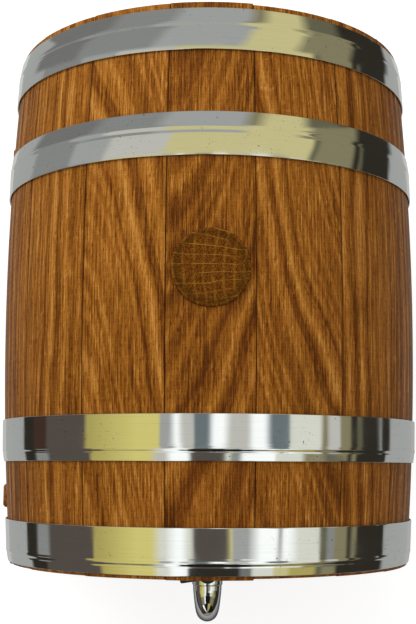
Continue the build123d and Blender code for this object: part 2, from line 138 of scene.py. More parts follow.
def add_node(
    tree: Tree,
    kind: str,
    inputs: dict | Sequence | None = None,
    stops: Sequence[tuple[float, str]] | None = None,
    **settings: object,
) -> Node:
    """Add a node to a tree with its settings, values and links.

    Args:
        tree: the shader or geometry tree.
        kind: the node's type.
        inputs: what goes into its inputs, in order, or by name or index: a value, an output socket, or a
            node, which stands for its first output in use.
        stops: the places and sRGB hex colours of a colour ramp.
        settings: the node's own properties.

    Returns:
        The new node.
    """
    node = tree.nodes.new(kind)
    for name, value in settings.items():
        setattr(node, name, value)
    feed(tree, node, inputs if isinstance(inputs, dict) else dict(enumerate(inputs or ())))
    for index, (place, colour) in enumerate(stops or ()):
        elements = node.color_ramp.elements
        if index == 0:
            elements.remove(elements[-1])
            elements[0].position = place
        stop = elements[0] if index == 0 else elements.new(place)
        stop.color = linear(colour)
    return node


def feed(tree: Tree, node: Node, inputs: dict) -> None:
    """Set and link a node's inputs.

    Args:
        tree: the tree that holds the node.
        node: the node.
        inputs: what goes into each named or numbered input, as in add_node.
    """
    for key, value in inputs.items():
        if isinstance(value, Node):
            value = next(output for output in value.outputs if output.enabled)
        if isinstance(value, Socket):
            tree.links.new(value, node.inputs[key])
        else:
            node.inputs[key].default_value = value


def new_material(name: str) -> tuple[Material, Tree, Node]:
    """Make an empty material with a Principled shader wired to its output.

    Args:
        name: the material's name.

    Returns:
        The material, its tree and its Principled node.
    """
    material = bpy.data.materials.new(name)
    material.use_nodes = True
    tree = material.node_tree
    tree.nodes.clear()
    shader = add_node(tree, "ShaderNodeBsdfPrincipled")
    add_node(tree, "ShaderNodeOutputMaterial", {"Surface": shader})
    return material, tree, shader


# ---------------- finishes


@dataclass(frozen=True)
class Figure:
    """One layer of a wood's figure: a noise drawn out along the grain."""

    size: Point  # length of its marks across, along and below the face, in metres
    weight: float  # what it adds to the wood's value where it is full
    low: float = 0.30  # where in the noise its marks begin
    high: float = 0.70  # and where they are full
    detail: float = 2.0
    middle: float = 0.5  # taken off first, so that the layer keeps the board's tone

    def draw(self, add: Callable, where: Socket, roughness: float, top: float = 1.0) -> Node:
        """Add the nodes that draw the layer.

        Args:
            add: adds a node to the material's tree.
            where: the place on the wood, in metres.
            roughness: how strong the noise's finer octaves are.
            top: what its marks come to where they are full.

        Returns:
            The node whose output is 0 between the marks.
        """
        spread = add(VECTOR, (where, tuple(1 / length for length in self.size)), operation="MULTIPLY")
        noise = {"Vector": spread, "Scale": 1.0, "Detail": self.detail, "Roughness": roughness}
        limits = {"From Min": self.low, "From Max": self.high, "To Max": top}
        return add(SPAN, {"Value": add(NOISE, noise)} | limits)


@dataclass(frozen=True)
class OakFinish:
    """Planed and oiled oak.

    The eye gets broad year bands, brown where the early wood's open pores drink the oil and golden in the
    denser late wood, whose edges fray into fine straight fibres. Short dark pore dashes, faint knife marks
    across the grain and slow changes of tone lie over them, under a soft oil sheen. Patterns read two places
    in metres: "grain", in the log, which gives each board its own figure, and "fibre", on the board, along
    which the fibres run straight.
    """

    name: str
    dark: str = "#482304"
    brown: str = "#6E3D0C"
    mid: str = "#8C5616"
    light: str = "#AA6D26"
    pale: str = "#C88F44"
    rust: str = "#7A3F10"
    joint: str = "#2C1604"
    stops: Point = (0.04, 0.27, 0.50, 0.72, 0.97)  # values of the colours from dark to pale
    middle: float = 0.49  # value of a board of middle tone
    tone_weight: float = 0.16  # what the palest tone adds to it
    rust_share: float = 0.28  # how far the clouds turn to rust
    # The log is neither round nor straight: its rings wander slowly, and waver a little along the grain.
    drifts: tuple[tuple[Point, float], ...] = (
        ((50 * MM, 140 * MM, 50 * MM), 13.0 * MM),
        ((11 * MM, 60 * MM, 11 * MM), 1.7 * MM),
    )
    band: float = 5.4 * MM  # a few years together, which is what shows at arm's length
    year: float = 1.9 * MM  # spacing of the single years
    band_weight: float = 0.40
    year_weight: float = 0.22
    ring_span: Pair = (0.28, 0.72)  # where in the noise a ring is darkest and palest
    fray: float = 3.2 * MM  # how far the fibres carry a band's edge along
    fray_size: Point = (0.70 * MM, 22 * MM, 0.70 * MM)
    ripple: float = 1.7 * MM  # spacing of the planer's marks across the grain
    ripple_weight: float = 0.022
    # Real fibres and pores are 0.05 to 0.3 mm wide; they are drawn wider so that they show.
    fibres: Figure = Figure((0.50 * MM, 20 * MM, 0.60 * MM), 0.70, 0.25, 0.75, 2.0)
    pores: Figure = Figure((0.36 * MM, 3.6 * MM, 0.60 * MM), -0.30, 0.56, 0.68, 1.0, 0.0)
    streaks: Figure = Figure((1.0 * MM, 80 * MM, 2.0 * MM), 0.42)
    clouds: Figure = Figure((26 * MM, 75 * MM, 26 * MM), 0.22)
    hatch: Figure = Figure((6.0 * MM, 0.7 * MM, 6.0 * MM), 0.07, 0.40, 0.65)
    flecks: Figure = Figure((0.8 * MM, 6.5 * MM, 9.0 * MM), 0.16, 0.64, 0.72, 1.0, 0.0)
    fleck_reach: float = 60 * MM  # distance from the pith at which a fleck has that size
    seam: Pair = (0.05 * MM, 0.70 * MM)  # where the dark joint line begins and ends in a board
    seam_share: float = 0.90
    relief: float = 0.08 * MM  # depth of the pores between the fibres
    relief_share: float = 0.6
    ripple_relief: float = 0.15  # depth of the knife marks, as a share of that
    octaves: float = 0.6  # strength of the finer marks in every layer
    roughness: Pair = (0.42, 0.60)
    sheen: float = 0.07

    def build(self) -> Material:
        """Make the material."""
        material, tree, shader = new_material(self.name)
        add = partial(add_node, tree)
        grain = add("ShaderNodeAttribute", attribute_name="grain").outputs["Vector"]
        board = add("ShaderNodeAttribute", attribute_name="fibre").outputs["Vector"]
        edge = add("ShaderNodeAttribute", attribute_name="edge").outputs["Fac"]
        tone = add("ShaderNodeAttribute", attribute_name="tone").outputs["Fac"]

        place = grain
        for size, reach in self.drifts:
            spread = add(VECTOR, (grain, tuple(1 / length for length in size)), operation="MULTIPLY")
            drift = add(NOISE, {"Vector": spread, "Scale": 1.0, "Detail": 1.0}).outputs["Color"]
            centred = add(VECTOR, (drift, (0.5, 0.5, 0.5)), operation="SUBTRACT")
            shift = add(VECTOR, {0: centred, "Scale": reach}, operation="SCALE")
            place = add(VECTOR, (place, shift))

        # Distance from the pith, with its bands' edges drawn out by the fibres.
        flat = add(VECTOR, (place, (1.0, 0.0, 1.0)), operation="MULTIPLY")
        radius = add(VECTOR, (flat,), operation="LENGTH")
        spread = add(VECTOR, (board, tuple(1 / length for length in self.fray_size)), operation="MULTIPLY")
        frayed = add(NOISE, {"Vector": spread, "Scale": 1.0, "Detail": 1.0})
        frayed = add(MATH, (frayed, 0.5), operation="SUBTRACT")
        radius = add(MATH, (frayed, self.fray, radius), operation="MULTIPLY_ADD")

        # The tone attribute is each board's own tone, with the staves' painted shade towards the front taken
        # off.
        value = add(MATH, (tone, self.tone_weight, self.middle), operation="MULTIPLY_ADD")
        low, high = self.ring_span
        for spacing, weight in ((self.band, self.band_weight), (self.year, self.year_weight)):
            rings = add(NOISE, {"W": radius, "Scale": 1 / spacing, "Detail": 1.5}, noise_dimensions="1D")
            limits = {"From Min": low, "From Max": high, "To Min": -weight / 2, "To Max": weight / 2}
            value = add(MATH, (value, add(SPAN, {"Value": rings} | limits)))

        # Rays stand in planes through the pith, so their short pale flecks show on faces cut that way.
        across, along, below = add("ShaderNodeSeparateXYZ", (place,)).outputs
        angle = add(MATH, (across, below), operation="ARCTAN2")
        swing = add(MATH, (angle, self.fleck_reach), operation="MULTIPLY")
        turned = add("ShaderNodeCombineXYZ", (swing, along, radius)).outputs[0]
        marks = {}
        for name in ("fibres", "pores", "streaks", "clouds", "hatch", "flecks"):
            figure: Figure = getattr(self, name)
            marks[name] = figure.draw(add, turned if name == "flecks" else board, self.octaves)
            centred = add(MATH, (marks[name], figure.middle), operation="SUBTRACT")
            value = add(MATH, (centred, figure.weight, value), operation="MULTIPLY_ADD")

        # Faint marks of the planer's knives, which come and go with the clouds.
        knives = add(MATH, (add(MATH, (along, tau / self.ripple), operation="MULTIPLY"),), operation="SINE")
        ripple = add(MATH, (knives, marks["clouds"]), operation="MULTIPLY")
        value = add(MATH, (ripple, self.ripple_weight, value), operation="MULTIPLY_ADD")

        hues = (self.dark, self.brown, self.mid, self.light, self.pale)
        colour = add(RAMP, (value,), tuple(zip(self.stops, hues)))
        warm = add(MATH, (marks["clouds"], self.rust_share), operation="MULTIPLY")
        colour = add(MIX, {0: warm, MIX_A: colour, MIX_B: linear(self.rust)}, data_type="RGBA")
        low, high = self.seam
        worn = {"Value": edge, "From Min": low, "From Max": high, "To Min": self.seam_share, "To Max": 0.0}
        dirt = add(SPAN, worn, interpolation_type="SMOOTHSTEP")
        colour = add(MIX, {0: dirt, MIX_A: colour, MIX_B: linear(self.joint)}, data_type="RGBA")

        height = add(MATH, (marks["pores"], -1.0, marks["fibres"]), operation="MULTIPLY_ADD")
        height = add(MATH, (ripple, self.ripple_relief, height), operation="MULTIPLY_ADD")
        depth = {"Strength": self.relief_share, "Distance": self.relief}
        bump = add("ShaderNodeBump", {"Height": height} | depth)
        low, high = self.roughness
        rough = add(SPAN, {"Value": marks["pores"], "To Min": low, "To Max": high})
        inputs = {"Base Color": colour, "Roughness": rough, "Normal": bump, "Specular IOR Level": self.sheen}
        feed(tree, shader, inputs)
        return material


@dataclass(frozen=True)
class EndGrainFinish:
    """Turned and oiled end grain of the bung.

    The eye gets the log's section: faint paler year lines that run nearly straight, dark pores as dots
    between them and a few fine bright medullary rays across, over a dull olive brown, because end grain
    drinks more oil. Painted shade darkens the face in a soft band inside its rim.
    """

    name: str
    ground: str = "#78450C"
    deep: str = "#442202"
    line: str = "#85581B"
    ray: str = "#A5792F"
    shadow: str = "#3B2303"
    ring: float = 5.6 * MM
    ray_step: float = radians(3.0)  # angle between the strong rays
    ray_width: float = 0.26 * MM
    reach: float = 93 * MM  # from the bung's axis to the pith
    radius: float = 21.6 * MM
    wander: Figure = Figure((16 * MM, 40 * MM, 20 * MM), 0.30)
    skew: Figure = Figure((30 * MM, 60 * MM, 22 * MM), 0.35)
    breaks: Figure = Figure((14 * MM, 60 * MM, 4.4 * MM), 0.85, 0.40, 0.56)
    pores: Figure = Figure((0.60 * MM, 30 * MM, 0.80 * MM), 0.55, 0.52, 0.68)
    mottle: Figure = Figure((0.62 * MM, 40 * MM, 0.90 * MM), 1.0, 0.28, 0.72)
    line_span: Pair = (0.03, 0.20)  # share of a year from a line's middle to where it fades
    ray_span: Pair = (0.4, 1.8)  # the same for a ray, in half widths
    ray_share: float = 0.9
    # Shares of the radius where the painted shade ring swells and where it thins out again at the rim, and
    # how far.
    swell: Point = (0.72, 0.90, 0.55)
    rim: Point = (0.90, 0.98, 0.75)
    ground_span: Pair = (0.2, 0.8)  # where in the mottle the wood is deep and plain
    octaves: float = 0.5  # strength of the finer marks in every layer
    relief: float = 0.06 * MM
    relief_share: float = 0.4
    roughness: float = 0.48
    sheen: float = 0.05

    def build(self) -> Material:
        """Make the material."""
        material, tree, shader = new_material(self.name)
        add = partial(add_node, tree)
        grain = add("ShaderNodeAttribute", attribute_name="grain").outputs["Vector"]
        across, _, below = add("ShaderNodeSeparateXYZ", (grain,)).outputs
        marks = {}
        for name in ("wander", "skew", "breaks", "pores", "mottle"):
            figure: Figure = getattr(self, name)
            marks[name] = figure.draw(add, grain, self.octaves, figure.weight)

        flat = add(VECTOR, (grain, (1.0, 0.0, 1.0)), operation="MULTIPLY")
        radius = add(VECTOR, (flat,), operation="LENGTH")
        years = add(MATH, (radius, 1 / self.ring, marks["wander"]), operation="MULTIPLY_ADD")
        turn = add(MATH, (below, add(MATH, (across, -1.0), operation="MULTIPLY")), operation="ARCTAN2")
        turns = add(MATH, (turn, 1 / self.ray_step, marks["skew"]), operation="MULTIPLY_ADD")
        half = self.ray_width / (2 * self.ray_step * self.reach)
        strokes = []
        for count, (low, high), width, share, breaks in (
            (years, self.line_span, 1.0, 1.0, "mottle"),
            (turns, self.ray_span, half, self.ray_share, "breaks"),
        ):
            apart = add(MATH, (add(MATH, (count,), operation="FRACT"), 0.5), operation="SUBTRACT")
            limits = {"From Min": low * width, "From Max": high * width, "To Min": share, "To Max": 0.0}
            stroke = add(SPAN, {"Value": add(MATH, (apart,), operation="ABSOLUTE")} | limits)
            strokes.append(add(MATH, (stroke, marks[breaks]), operation="MULTIPLY"))
        line, ray = strokes

        # Painted shade: a soft dark ring a little inside the rim, which thins out again at the rim itself.
        offset = add(VECTOR, (flat, (-self.reach, 0.0, 0.0)), operation="SUBTRACT")
        inside = add(VECTOR, (offset,), operation="LENGTH")
        zones = []
        for low, high, share in (self.swell, self.rim):
            limits = {"Value": inside, "From Min": self.radius * low, "From Max": self.radius * high}
            zones.append(add(SPAN, limits | {"To Max": share}, interpolation_type="SMOOTHSTEP"))
        shadow = add(MATH, (add(MATH, zones, operation="SUBTRACT"), 0.0), operation="MAXIMUM")

        stops = tuple(zip(self.ground_span, (self.deep, self.ground)))
        colour = add(RAMP, (marks["mottle"],), stops)
        layers = ((marks["pores"], self.deep), (line, self.line), (ray, self.ray), (shadow, self.shadow))
        for share, tint in layers:
            colour = add(MIX, {0: share, MIX_A: colour, MIX_B: linear(tint)}, data_type="RGBA")
        height = add(MATH, (ray, marks["pores"]), operation="SUBTRACT")
        depth = {"Strength": self.relief_share, "Distance": self.relief}
        bump = add("ShaderNodeBump", {"Height": height} | depth)
        inputs = {"Base Color": colour, "Normal": bump, "Specular IOR Level": self.sheen}
        feed(tree, shader, inputs | {"Roughness": self.roughness})
        return material


@dataclass(frozen=True)
class MetalFinish:
    """A metal surface with fine lines left by the way it was worked.

    The eye gets clear reflections that are drawn out a little by hair lines along the work, with a few faint
    cloudy patches where hands have dulled the polish, and sparse dark pits.
    """

    name: str
    colour: str
    roughness: float
    line: float  # spacing of the hair lines
    line_depth: float
    line_axis: Axis | None = None  # axis that the lines run around; None leaves them out
    cloud: float = 0.05  # how much the dulled patches add to the roughness
    pit: float = 0.0  # size of the pits; 0 leaves them out
    hair: float = 0.0  # how much the hair lines darken the metal
    edge: str = "#FFFFFF"  # what it makes of a reflection at a slant
    grime: str = "#3A3834"  # colour of the pits and of the darkest hair lines
    patch: float = 22 * MM  # size of the dulled patches
    patch_span: Pair = (0.45, 0.75)  # where in the noise they begin and are full
    line_length: float = 60 * MM  # distance over which a hair line changes
    hair_span: Pair = (0.56, 0.74)  # the same for the hair lines that darken
    pit_span: Pair = (0.68, 0.74)  # and for the pits
    pit_field: Pair = (0.46, 0.58)  # and for the patches that have pits

    def build(self) -> Material:
        """Make the material."""
        material, tree, shader = new_material(self.name)
        add = partial(add_node, tree)
        place = add("ShaderNodeTexCoord").outputs["Object"]
        patches = add(NOISE, {"Vector": place, "Scale": 1 / self.patch, "Detail": 3.0})
        low, high = self.patch_span
        dulled = {"Value": patches, "From Min": low, "From Max": high}
        rough = add(SPAN, dulled | {"To Min": self.roughness, "To Max": self.roughness + self.cloud})
        colours = {"Base Color": linear(self.colour), "Specular Tint": linear(self.edge)}
        feed(tree, shader, colours | {"Roughness": rough, "Metallic": 1.0})
        if self.line_axis is None:
            return material
        # Stretched hard around the axis, the noise is a stack of rings whose depth changes slowly.
        fine = tuple(1 / (self.line if part else self.line_length) for part in self.line_axis.value)
        spread = add(VECTOR, (place, fine), operation="MULTIPLY")
        hairs = add(NOISE, {"Vector": spread, "Scale": 1.0, "Detail": 4.0, "Roughness": 0.7})
        bump = add("ShaderNodeBump", {"Height": hairs, "Strength": 1.0, "Distance": self.line_depth})
        feed(tree, shader, {"Normal": bump})
        if self.pit:
            specks = add(NOISE, {"Vector": place, "Scale": 1 / self.pit, "Detail": 2.0})
            pits, sparse, worn = (
                add(SPAN, {"Value": noise, "From Min": span[0], "From Max": span[1], "To Max": top})
                for noise, span, top in (
                    (specks, self.pit_span, 1.0),
                    (patches, self.pit_field, 1.0),
                    (hairs, self.hair_span, self.hair),
                )
            )
            marks = add(MATH, (add(MATH, (pits, sparse), operation="MULTIPLY"), worn), operation="MAXIMUM")
            tints = {0: marks, MIX_A: linear(self.colour), MIX_B: linear(self.grime)}
            feed(tree, shader, {"Base Color": add(MIX, tints, data_type="RGBA")})
        return material


@dataclass(frozen=True)
class PlainFinish:
    """A moulded, coated or rubbery surface in one colour family.

    The eye gets a soft, slightly uneven sheen, with the fine grit of the coating or the mould.
    """

    name: str
    colour: str
    fleck: str
    roughness: float
    grit: float  # size of the surface's grit
    grit_depth: float
    ior: float = 1.5
    haze: float = 12 * MM  # size of the uneven patches
    haze_span: Pair = (0.35, 0.75)  # where in the noise the colours stand
    unevenness: float = 0.06  # what they add to the roughness and take from it

    def build(self) -> Material:
        """Make the material."""
        material, tree, shader = new_material(self.name)
        add = partial(add_node, tree)
        place = add("ShaderNodeTexCoord").outputs["Object"]
        lumps = add(NOISE, {"Vector": place, "Scale": 1 / self.grit, "Detail": 2.0})
        haze = add(NOISE, {"Vector": place, "Scale": 1 / self.haze, "Detail": 3.0})
        colour = add(RAMP, (haze,), tuple(zip(self.haze_span, (self.colour, self.fleck))))
        low, high = self.roughness - self.unevenness, self.roughness + self.unevenness
        rough = add(SPAN, {"Value": haze, "To Min": low, "To Max": high})
        bump = add("ShaderNodeBump", {"Height": lumps, "Strength": 1.0, "Distance": self.grit_depth})
        feed(tree, shader, {"Base Color": colour, "Roughness": rough, "Normal": bump, "IOR": self.ior})
        return material


# Sawn, planed and oiled oak of the staves: the figure is strong and the joints are dark lines.
STAVE_OAK = OakFinish("oiled_oak_staves").build()
# The heads' boards are the same oak, sanded finer and seen less, with a calmer figure.
HEAD_OAK = OakFinish("oiled_oak_heads", band_weight=0.32, ripple=2.4 * MM).build()
# The stand is rougher sawn and a little darker.
STAND_OAK = OakFinish("oiled_oak_stand", dark="#42210A", mid="#7C4A16", year=3.1 * MM).build()
# Bung turned from oak with its grain upright, so that the face that shows is end grain.
BUNG_OAK = EndGrainFinish("end_grain_oak_bung").build()
# Beech dowel rod: pale, plain and close-grained.
DOWEL_BEECH = PlainFinish("turned_beech_dowel", "#C79A68", "#B98A58", 0.6, 0.6 * MM, 0.03 * MM).build()
# Cold-rolled stainless strip, polished: mirror-like, with hair lines round the cask from the rolling.
HOOP_STEEL = MetalFinish(
    "polished_stainless_strip", "#E6E7E5", 0.05, 0.30 * MM, 0.0008 * MM, Axis.Y, 0.07, 1.3 * MM, 0.22
).build()
# Upset rivets of the same steel, duller from the hammer.
RIVET_STEEL = MetalFinish("hammered_stainless_rivet", "#D0D1CF", 0.30, 0.5 * MM, 0.004 * MM, Axis.X).build()
# Chrome plate over polished brass: a cold, near-perfect mirror. Its dark olive edge tint is painted
# reflection, which greys the chrome where it is seen at a slant.
TAP_CHROME = MetalFinish("chrome_plate", "#E2E4E4", 0.04, 0.4 * MM, 0.0, None, 0.04, edge="#5C5E52").build()
# Turned brass with lathe lines, left bare.
NUT_BRASS = MetalFinish("turned_brass", "#D9B36A", 0.22, 0.25 * MM, 0.004 * MM, Axis.Y).build()
# Zinc-plated steel of the screws: greyer and duller.
SCREW_STEEL = MetalFinish("zinc_plated_steel", "#A9ADB0", 0.34, 0.4 * MM, 0.004 * MM, Axis.Z).build()
# Pressed rubber washers: black, nearly matt.
GASKET_RUBBER = PlainFinish("pressed_rubber", "#1A1A1A", "#242322", 0.62, 0.4 * MM, 0.02 * MM).build()
# PTFE seats and packing: waxy white.
SEAT_PTFE = PlainFinish("turned_ptfe", "#E6E5DF", "#DAD8CF", 0.38, 0.3 * MM, 0.01 * MM, 1.38).build()
# Powder coat over zinc: black with a very fine orange peel.
HANDLE_BLACK = PlainFinish("black_powder_coat", "#131313", "#1C1B1A", 0.36, 0.5 * MM, 0.02 * MM).build()


# ---------------- meshes


def rounded(outline: Iterable[Point], steps: int = 4, closed: bool = True) -> np.ndarray:
    """Round the corners of an outline.

    Args:
        outline: its corners as (x, y) or (x, y, radius).
        steps: faces in each rounded corner.
        closed: whether the last corner joins the first.

    Returns:
        The outline's points, one row each.
    """
    corners = [(*corner, 0.0)[:3] for corner in outline]
    points: list[Vector] = []
    for index, (x, y, radius) in enumerate(corners):
        here = Vector((x, y))
        before = Vector(corners[index - 1][:2]) - here
        after = Vector(corners[(index + 1) % len(corners)][:2]) - here
        if radius == 0.0 or not closed and index in (0, len(corners) - 1):
            points.append(here)
            continue
        half = before.angle(after) / 2
        reach = min(radius / tan(half), MOST_OF_SIDE * before.length, MOST_OF_SIDE * after.length)
        middle = here + (before.normalized() + after.normalized()).normalized() * (reach / cos(half))
        spoke = here + before.normalized() * reach - middle
        swing = pi - 2 * half
        way = -1 if before.x * after.y - before.y * after.x > 0 else 1
        for step in range(steps + 1):
            points.append(middle + Matrix.Rotation(way * swing * step / steps, 2) @ spoke)
    return np.array([tuple(point) for point in points])


def ring(centre: Vector, across: Vector, up: Vector, radii: Sequence[float]) -> np.ndarray:
    """Place points round a centre, evenly by angle.

    Args:
        centre: the middle of the ring.
        across: unit direction of the first point.
        up: unit direction a quarter turn further.
        radii: each point's distance from the centre.

    Returns:
        The points, one row each.
    """
    turns = np.arange(len(radii)) * tau / len(radii)
    reach = np.asarray(radii, float)
    spokes = np.outer(np.cos(turns) * reach, across) + np.outer(np.sin(turns) * reach, up)
    return np.asarray(centre, float) + spokes


def square_to(axis: Vector) -> tuple[Vector, Vector]:
    """Give two unit directions square to an axis and to each other."""
    first = axis.orthogonal().normalized()
    return first, axis.cross(first).normalized()


def skin(rings: Sequence[np.ndarray], wrap: bool = False) -> Skin:
    """Cover a row of rings with faces.

    Args:
        rings: closed rings with equal numbers of points.
        wrap: joins the last ring to the first; otherwise each end gets a cap.

    Returns:
        The vertices and the faces.
    """
    count, spans = len(rings[0]), len(rings) if wrap else len(rings) - 1
    faces = []
    for span in range(spans):
        low, high = span * count, (span + 1) % len(rings) * count
        for at in range(count):
            after = (at + 1) % count
            faces.append([low + at, low + after, high + after, high + at])
    if not wrap:
        faces.append(list(range(count)))
        faces.append(list(range((len(rings) - 1) * count, len(rings) * count)))
    return np.concatenate(rings), faces


def shade(mesh: bpy.types.Mesh) -> None:
    """Shade a mesh smooth, except across its crisp edges."""
    mesh.shade_smooth()
    mesh.set_sharp_from_angle(angle=SHARP)


def placed(name: str, data: bpy.types.ID) -> Piece:
    """Put an object with given data into the scene, at the origin."""
    piece = bpy.data.objects.new(name, data)
    bpy.context.scene.collection.objects.link(piece)
    return piece


def raw_object(name: str, points: Iterable, edges: Sequence = (), faces: Sequence = ()) -> Piece:
    """Make an object from points, edges and faces as they are."""
    mesh = bpy.data.meshes.new(name)
    mesh.from_pydata([tuple(map(float, point)) for point in points], edges, faces)
    return placed(name, mesh)


def outwards(piece: Piece, merge: float = 0.0) -> None:
    """Turn a mesh's faces outwards, once vertices nearer than a given distance are merged."""
    work = bmesh.new()
    work.from_mesh(piece.data)
    if merge:
        bmesh.ops.remove_doubles(work, verts=work.verts, dist=merge)
    bmesh.ops.recalc_face_normals(work, faces=work.faces)
    work.to_mesh(piece.data)
    work.free()
    shade(piece.data)


def mesh_object(name: str, shape: Skin, material: Material) -> Piece:
    """Make an object from vertices and faces, with its faces outwards.

    Args:
        name: the piece's name.
        shape: its vertices and faces.
        material: its finish.

    Returns:
        The object, at the origin.
    """
    piece = raw_object(name, shape[0], faces=shape[1])
    outwards(piece)
    piece.data.materials.append(material)
    return piece


def settle(piece: Piece) -> None:
    """Turn an object's modifiers into plain mesh."""
    evaluated = piece.evaluated_get(bpy.context.evaluated_depsgraph_get())
    mesh = bpy.data.meshes.new_from_object(evaluated)
    piece.modifiers.clear()
    spent, piece.data = piece.data, mesh
    bpy.data.meshes.remove(spent)
    mesh.name = piece.name
    shade(mesh)


def join(piece: Piece, other: Piece, operation: str) -> None:
    """Join an object to a piece or cut it out of it, and remove it."""
    change = piece.modifiers.new(other.name, "BOOLEAN")
    change.operation = operation
    change.object = other
    change.solver = "EXACT"
    settle(piece)
    bpy.data.objects.remove(other)


def lathe(profile: np.ndarray, foot: Vector, axis: Vector, segments: int = ROUND, wrap: bool = True) -> Skin:
    """Turn an outline about an axis.

    Args:
        profile: points as (distance along the axis, radius).
        foot: where distance is 0.
        axis: unit direction of the axis.
        segments: points in each ring.
        wrap: joins the outline's ends, as for a piece with a bore.

    Returns:
        The vertices and the faces.
    """
    across, up = square_to(axis)
    rings = [ring(foot + axis * along, across, up, [radius] * segments) for along, radius in profile]
    return skin(rings, wrap)


def eased_copy(node: str, ease: float, material: Material) -> Piece:
    """Copy a CAD node's mesh as one skin and break its edges.

    Args:
        node: the node's name.
        ease: width of the broken edge.
        material: the copy's finish.

    Returns:
        The copy, named after the node.
    """
    work = bmesh.new()
    work.from_mesh(frame["nodes"][node].data)
    bmesh.ops.remove_doubles(work, verts=work.verts, dist=WELD)
    bmesh.ops.dissolve_limit(work, angle_limit=FACET, verts=work.verts, edges=work.edges)
    work.verts.index_update()
    vertices = np.array([tuple(vert.co) for vert in work.verts])
    faces = [[vert.index for vert in face.verts] for face in work.faces]
    work.free()
    piece = mesh_object(f"{node}_finished", (vertices, faces), material)
    bevel = piece.modifiers.new("ease", "BEVEL")
    bevel.width = ease
    bevel.segments = 3
    bevel.limit_method = "ANGLE"
    bevel.angle_limit = CORNER
    settle(piece)
    return piece


def positions(piece: Piece) -> np.ndarray:
    """Read the places of a mesh's vertices, one row each."""
    places = np.empty(len(piece.data.vertices) * 3, np.float32)
    piece.data.vertices.foreach_get("co", places)
    return places.reshape(-1, 3).astype(float)


def write_attribute(piece: Piece, name: str, values: np.ndarray) -> None:
    """Store a number or a vector for each vertex of a piece.

    Args:
        piece: the piece.
        name: the attribute's name.
        values: one value or one row of three for each vertex.
    """
    kind, key = ("FLOAT_VECTOR", "vector") if values.ndim == 2 else ("FLOAT", "value")
    attribute = piece.data.attributes.new(name, kind, "POINT")
    attribute.data.foreach_set(key, values.astype(np.float32).ravel())


def finish_piece(piece: Piece, body: str, slot: str, *nodes: str) -> None:
    """Hand a finished piece to its body and report it.

    Args:
        piece: the piece, at the origin.
        body: the CAD body that carries it.
        slot: the record's material slot; not used.
        nodes: the CAD nodes that it stands for.
    """
    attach(piece, body)
    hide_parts(*nodes)
    LOG.info("%s: %d faces, rides on %s", piece.name, len(piece.data.polygons), body)


def dress_node(node: str, material: Material) -> None:
    """Give a CAD node that keeps its own mesh a finish."""
    slots = frame["nodes"][node].data.materials
    slots.clear()
    slots.append(material)
    LOG.info("%s: CAD mesh kept, finished as %s", node, material.name)


# ---------------- geometry nodes


@dataclass
class GeometryTree:
    """A geometry tree with named inputs, run once on an object and then turned into plain mesh."""

    name: str
    sizes: dict[str, str]  # input name to kind of socket
    tree: Tree = field(init=False)
    source: Node = field(init=False)

    def __post_init__(self) -> None:
        """Make the tree and its inputs."""
        self.tree = bpy.data.node_groups.new(self.name, "GeometryNodeTree")
        for name, kind in ({"Geometry": "Geometry"} | self.sizes | {"Material": "Material"}).items():
            self.tree.interface.new_socket(name=name, in_out="INPUT", socket_type=f"NodeSocket{kind}")
        self.tree.interface.new_socket(name="Geometry", in_out="OUTPUT", socket_type="NodeSocketGeometry")
        self.source = self.tree.nodes.new("NodeGroupInput")

    def size(self, name: str) -> Socket:
        """Give the socket of a named input."""
        return self.source.outputs[name]

    def add(self, kind: str, inputs: dict | Sequence, **settings: object) -> Socket:
        """Add a node and give its first output."""
        return add_node(self.tree, kind, inputs, **settings).outputs[0]

    def scatter(self, part: Socket, inputs: dict | None = None) -> None:
        """End the tree in copies of a part on the points that go in."""
        points = self.add("GeometryNodeMeshToPoints", {"Mesh": self.size("Geometry")})
        copies = {"Points": points, "Instance": part} | (inputs or {})
        self.close(self.add("GeometryNodeInstanceOnPoints", copies))

    def close(self, geometry: Socket) -> None:
        """End the tree in Realize Instances and Set Material."""
        real = self.add("GeometryNodeRealizeInstances", {"Geometry": geometry})
        done = self.add("GeometryNodeSetMaterial", {"Geometry": real, "Material": self.size("Material")})
        self.tree.links.new(done, self.tree.nodes.new("NodeGroupOutput").inputs[0])

    def run(self, piece: Piece, values: dict[str, object]) -> None:
        """Run the tree on a piece and keep the result as its mesh.

        Args:
            piece: the object whose mesh goes in.
            values: the inputs by name.
        """
        modifier = piece.modifiers.new(self.name, "NODES")
        modifier.node_group = self.tree
        for name, value in values.items():
            modifier[self.tree.interface.items_tree[name].identifier] = value
        settle(piece)


# ---------------- wood in the log


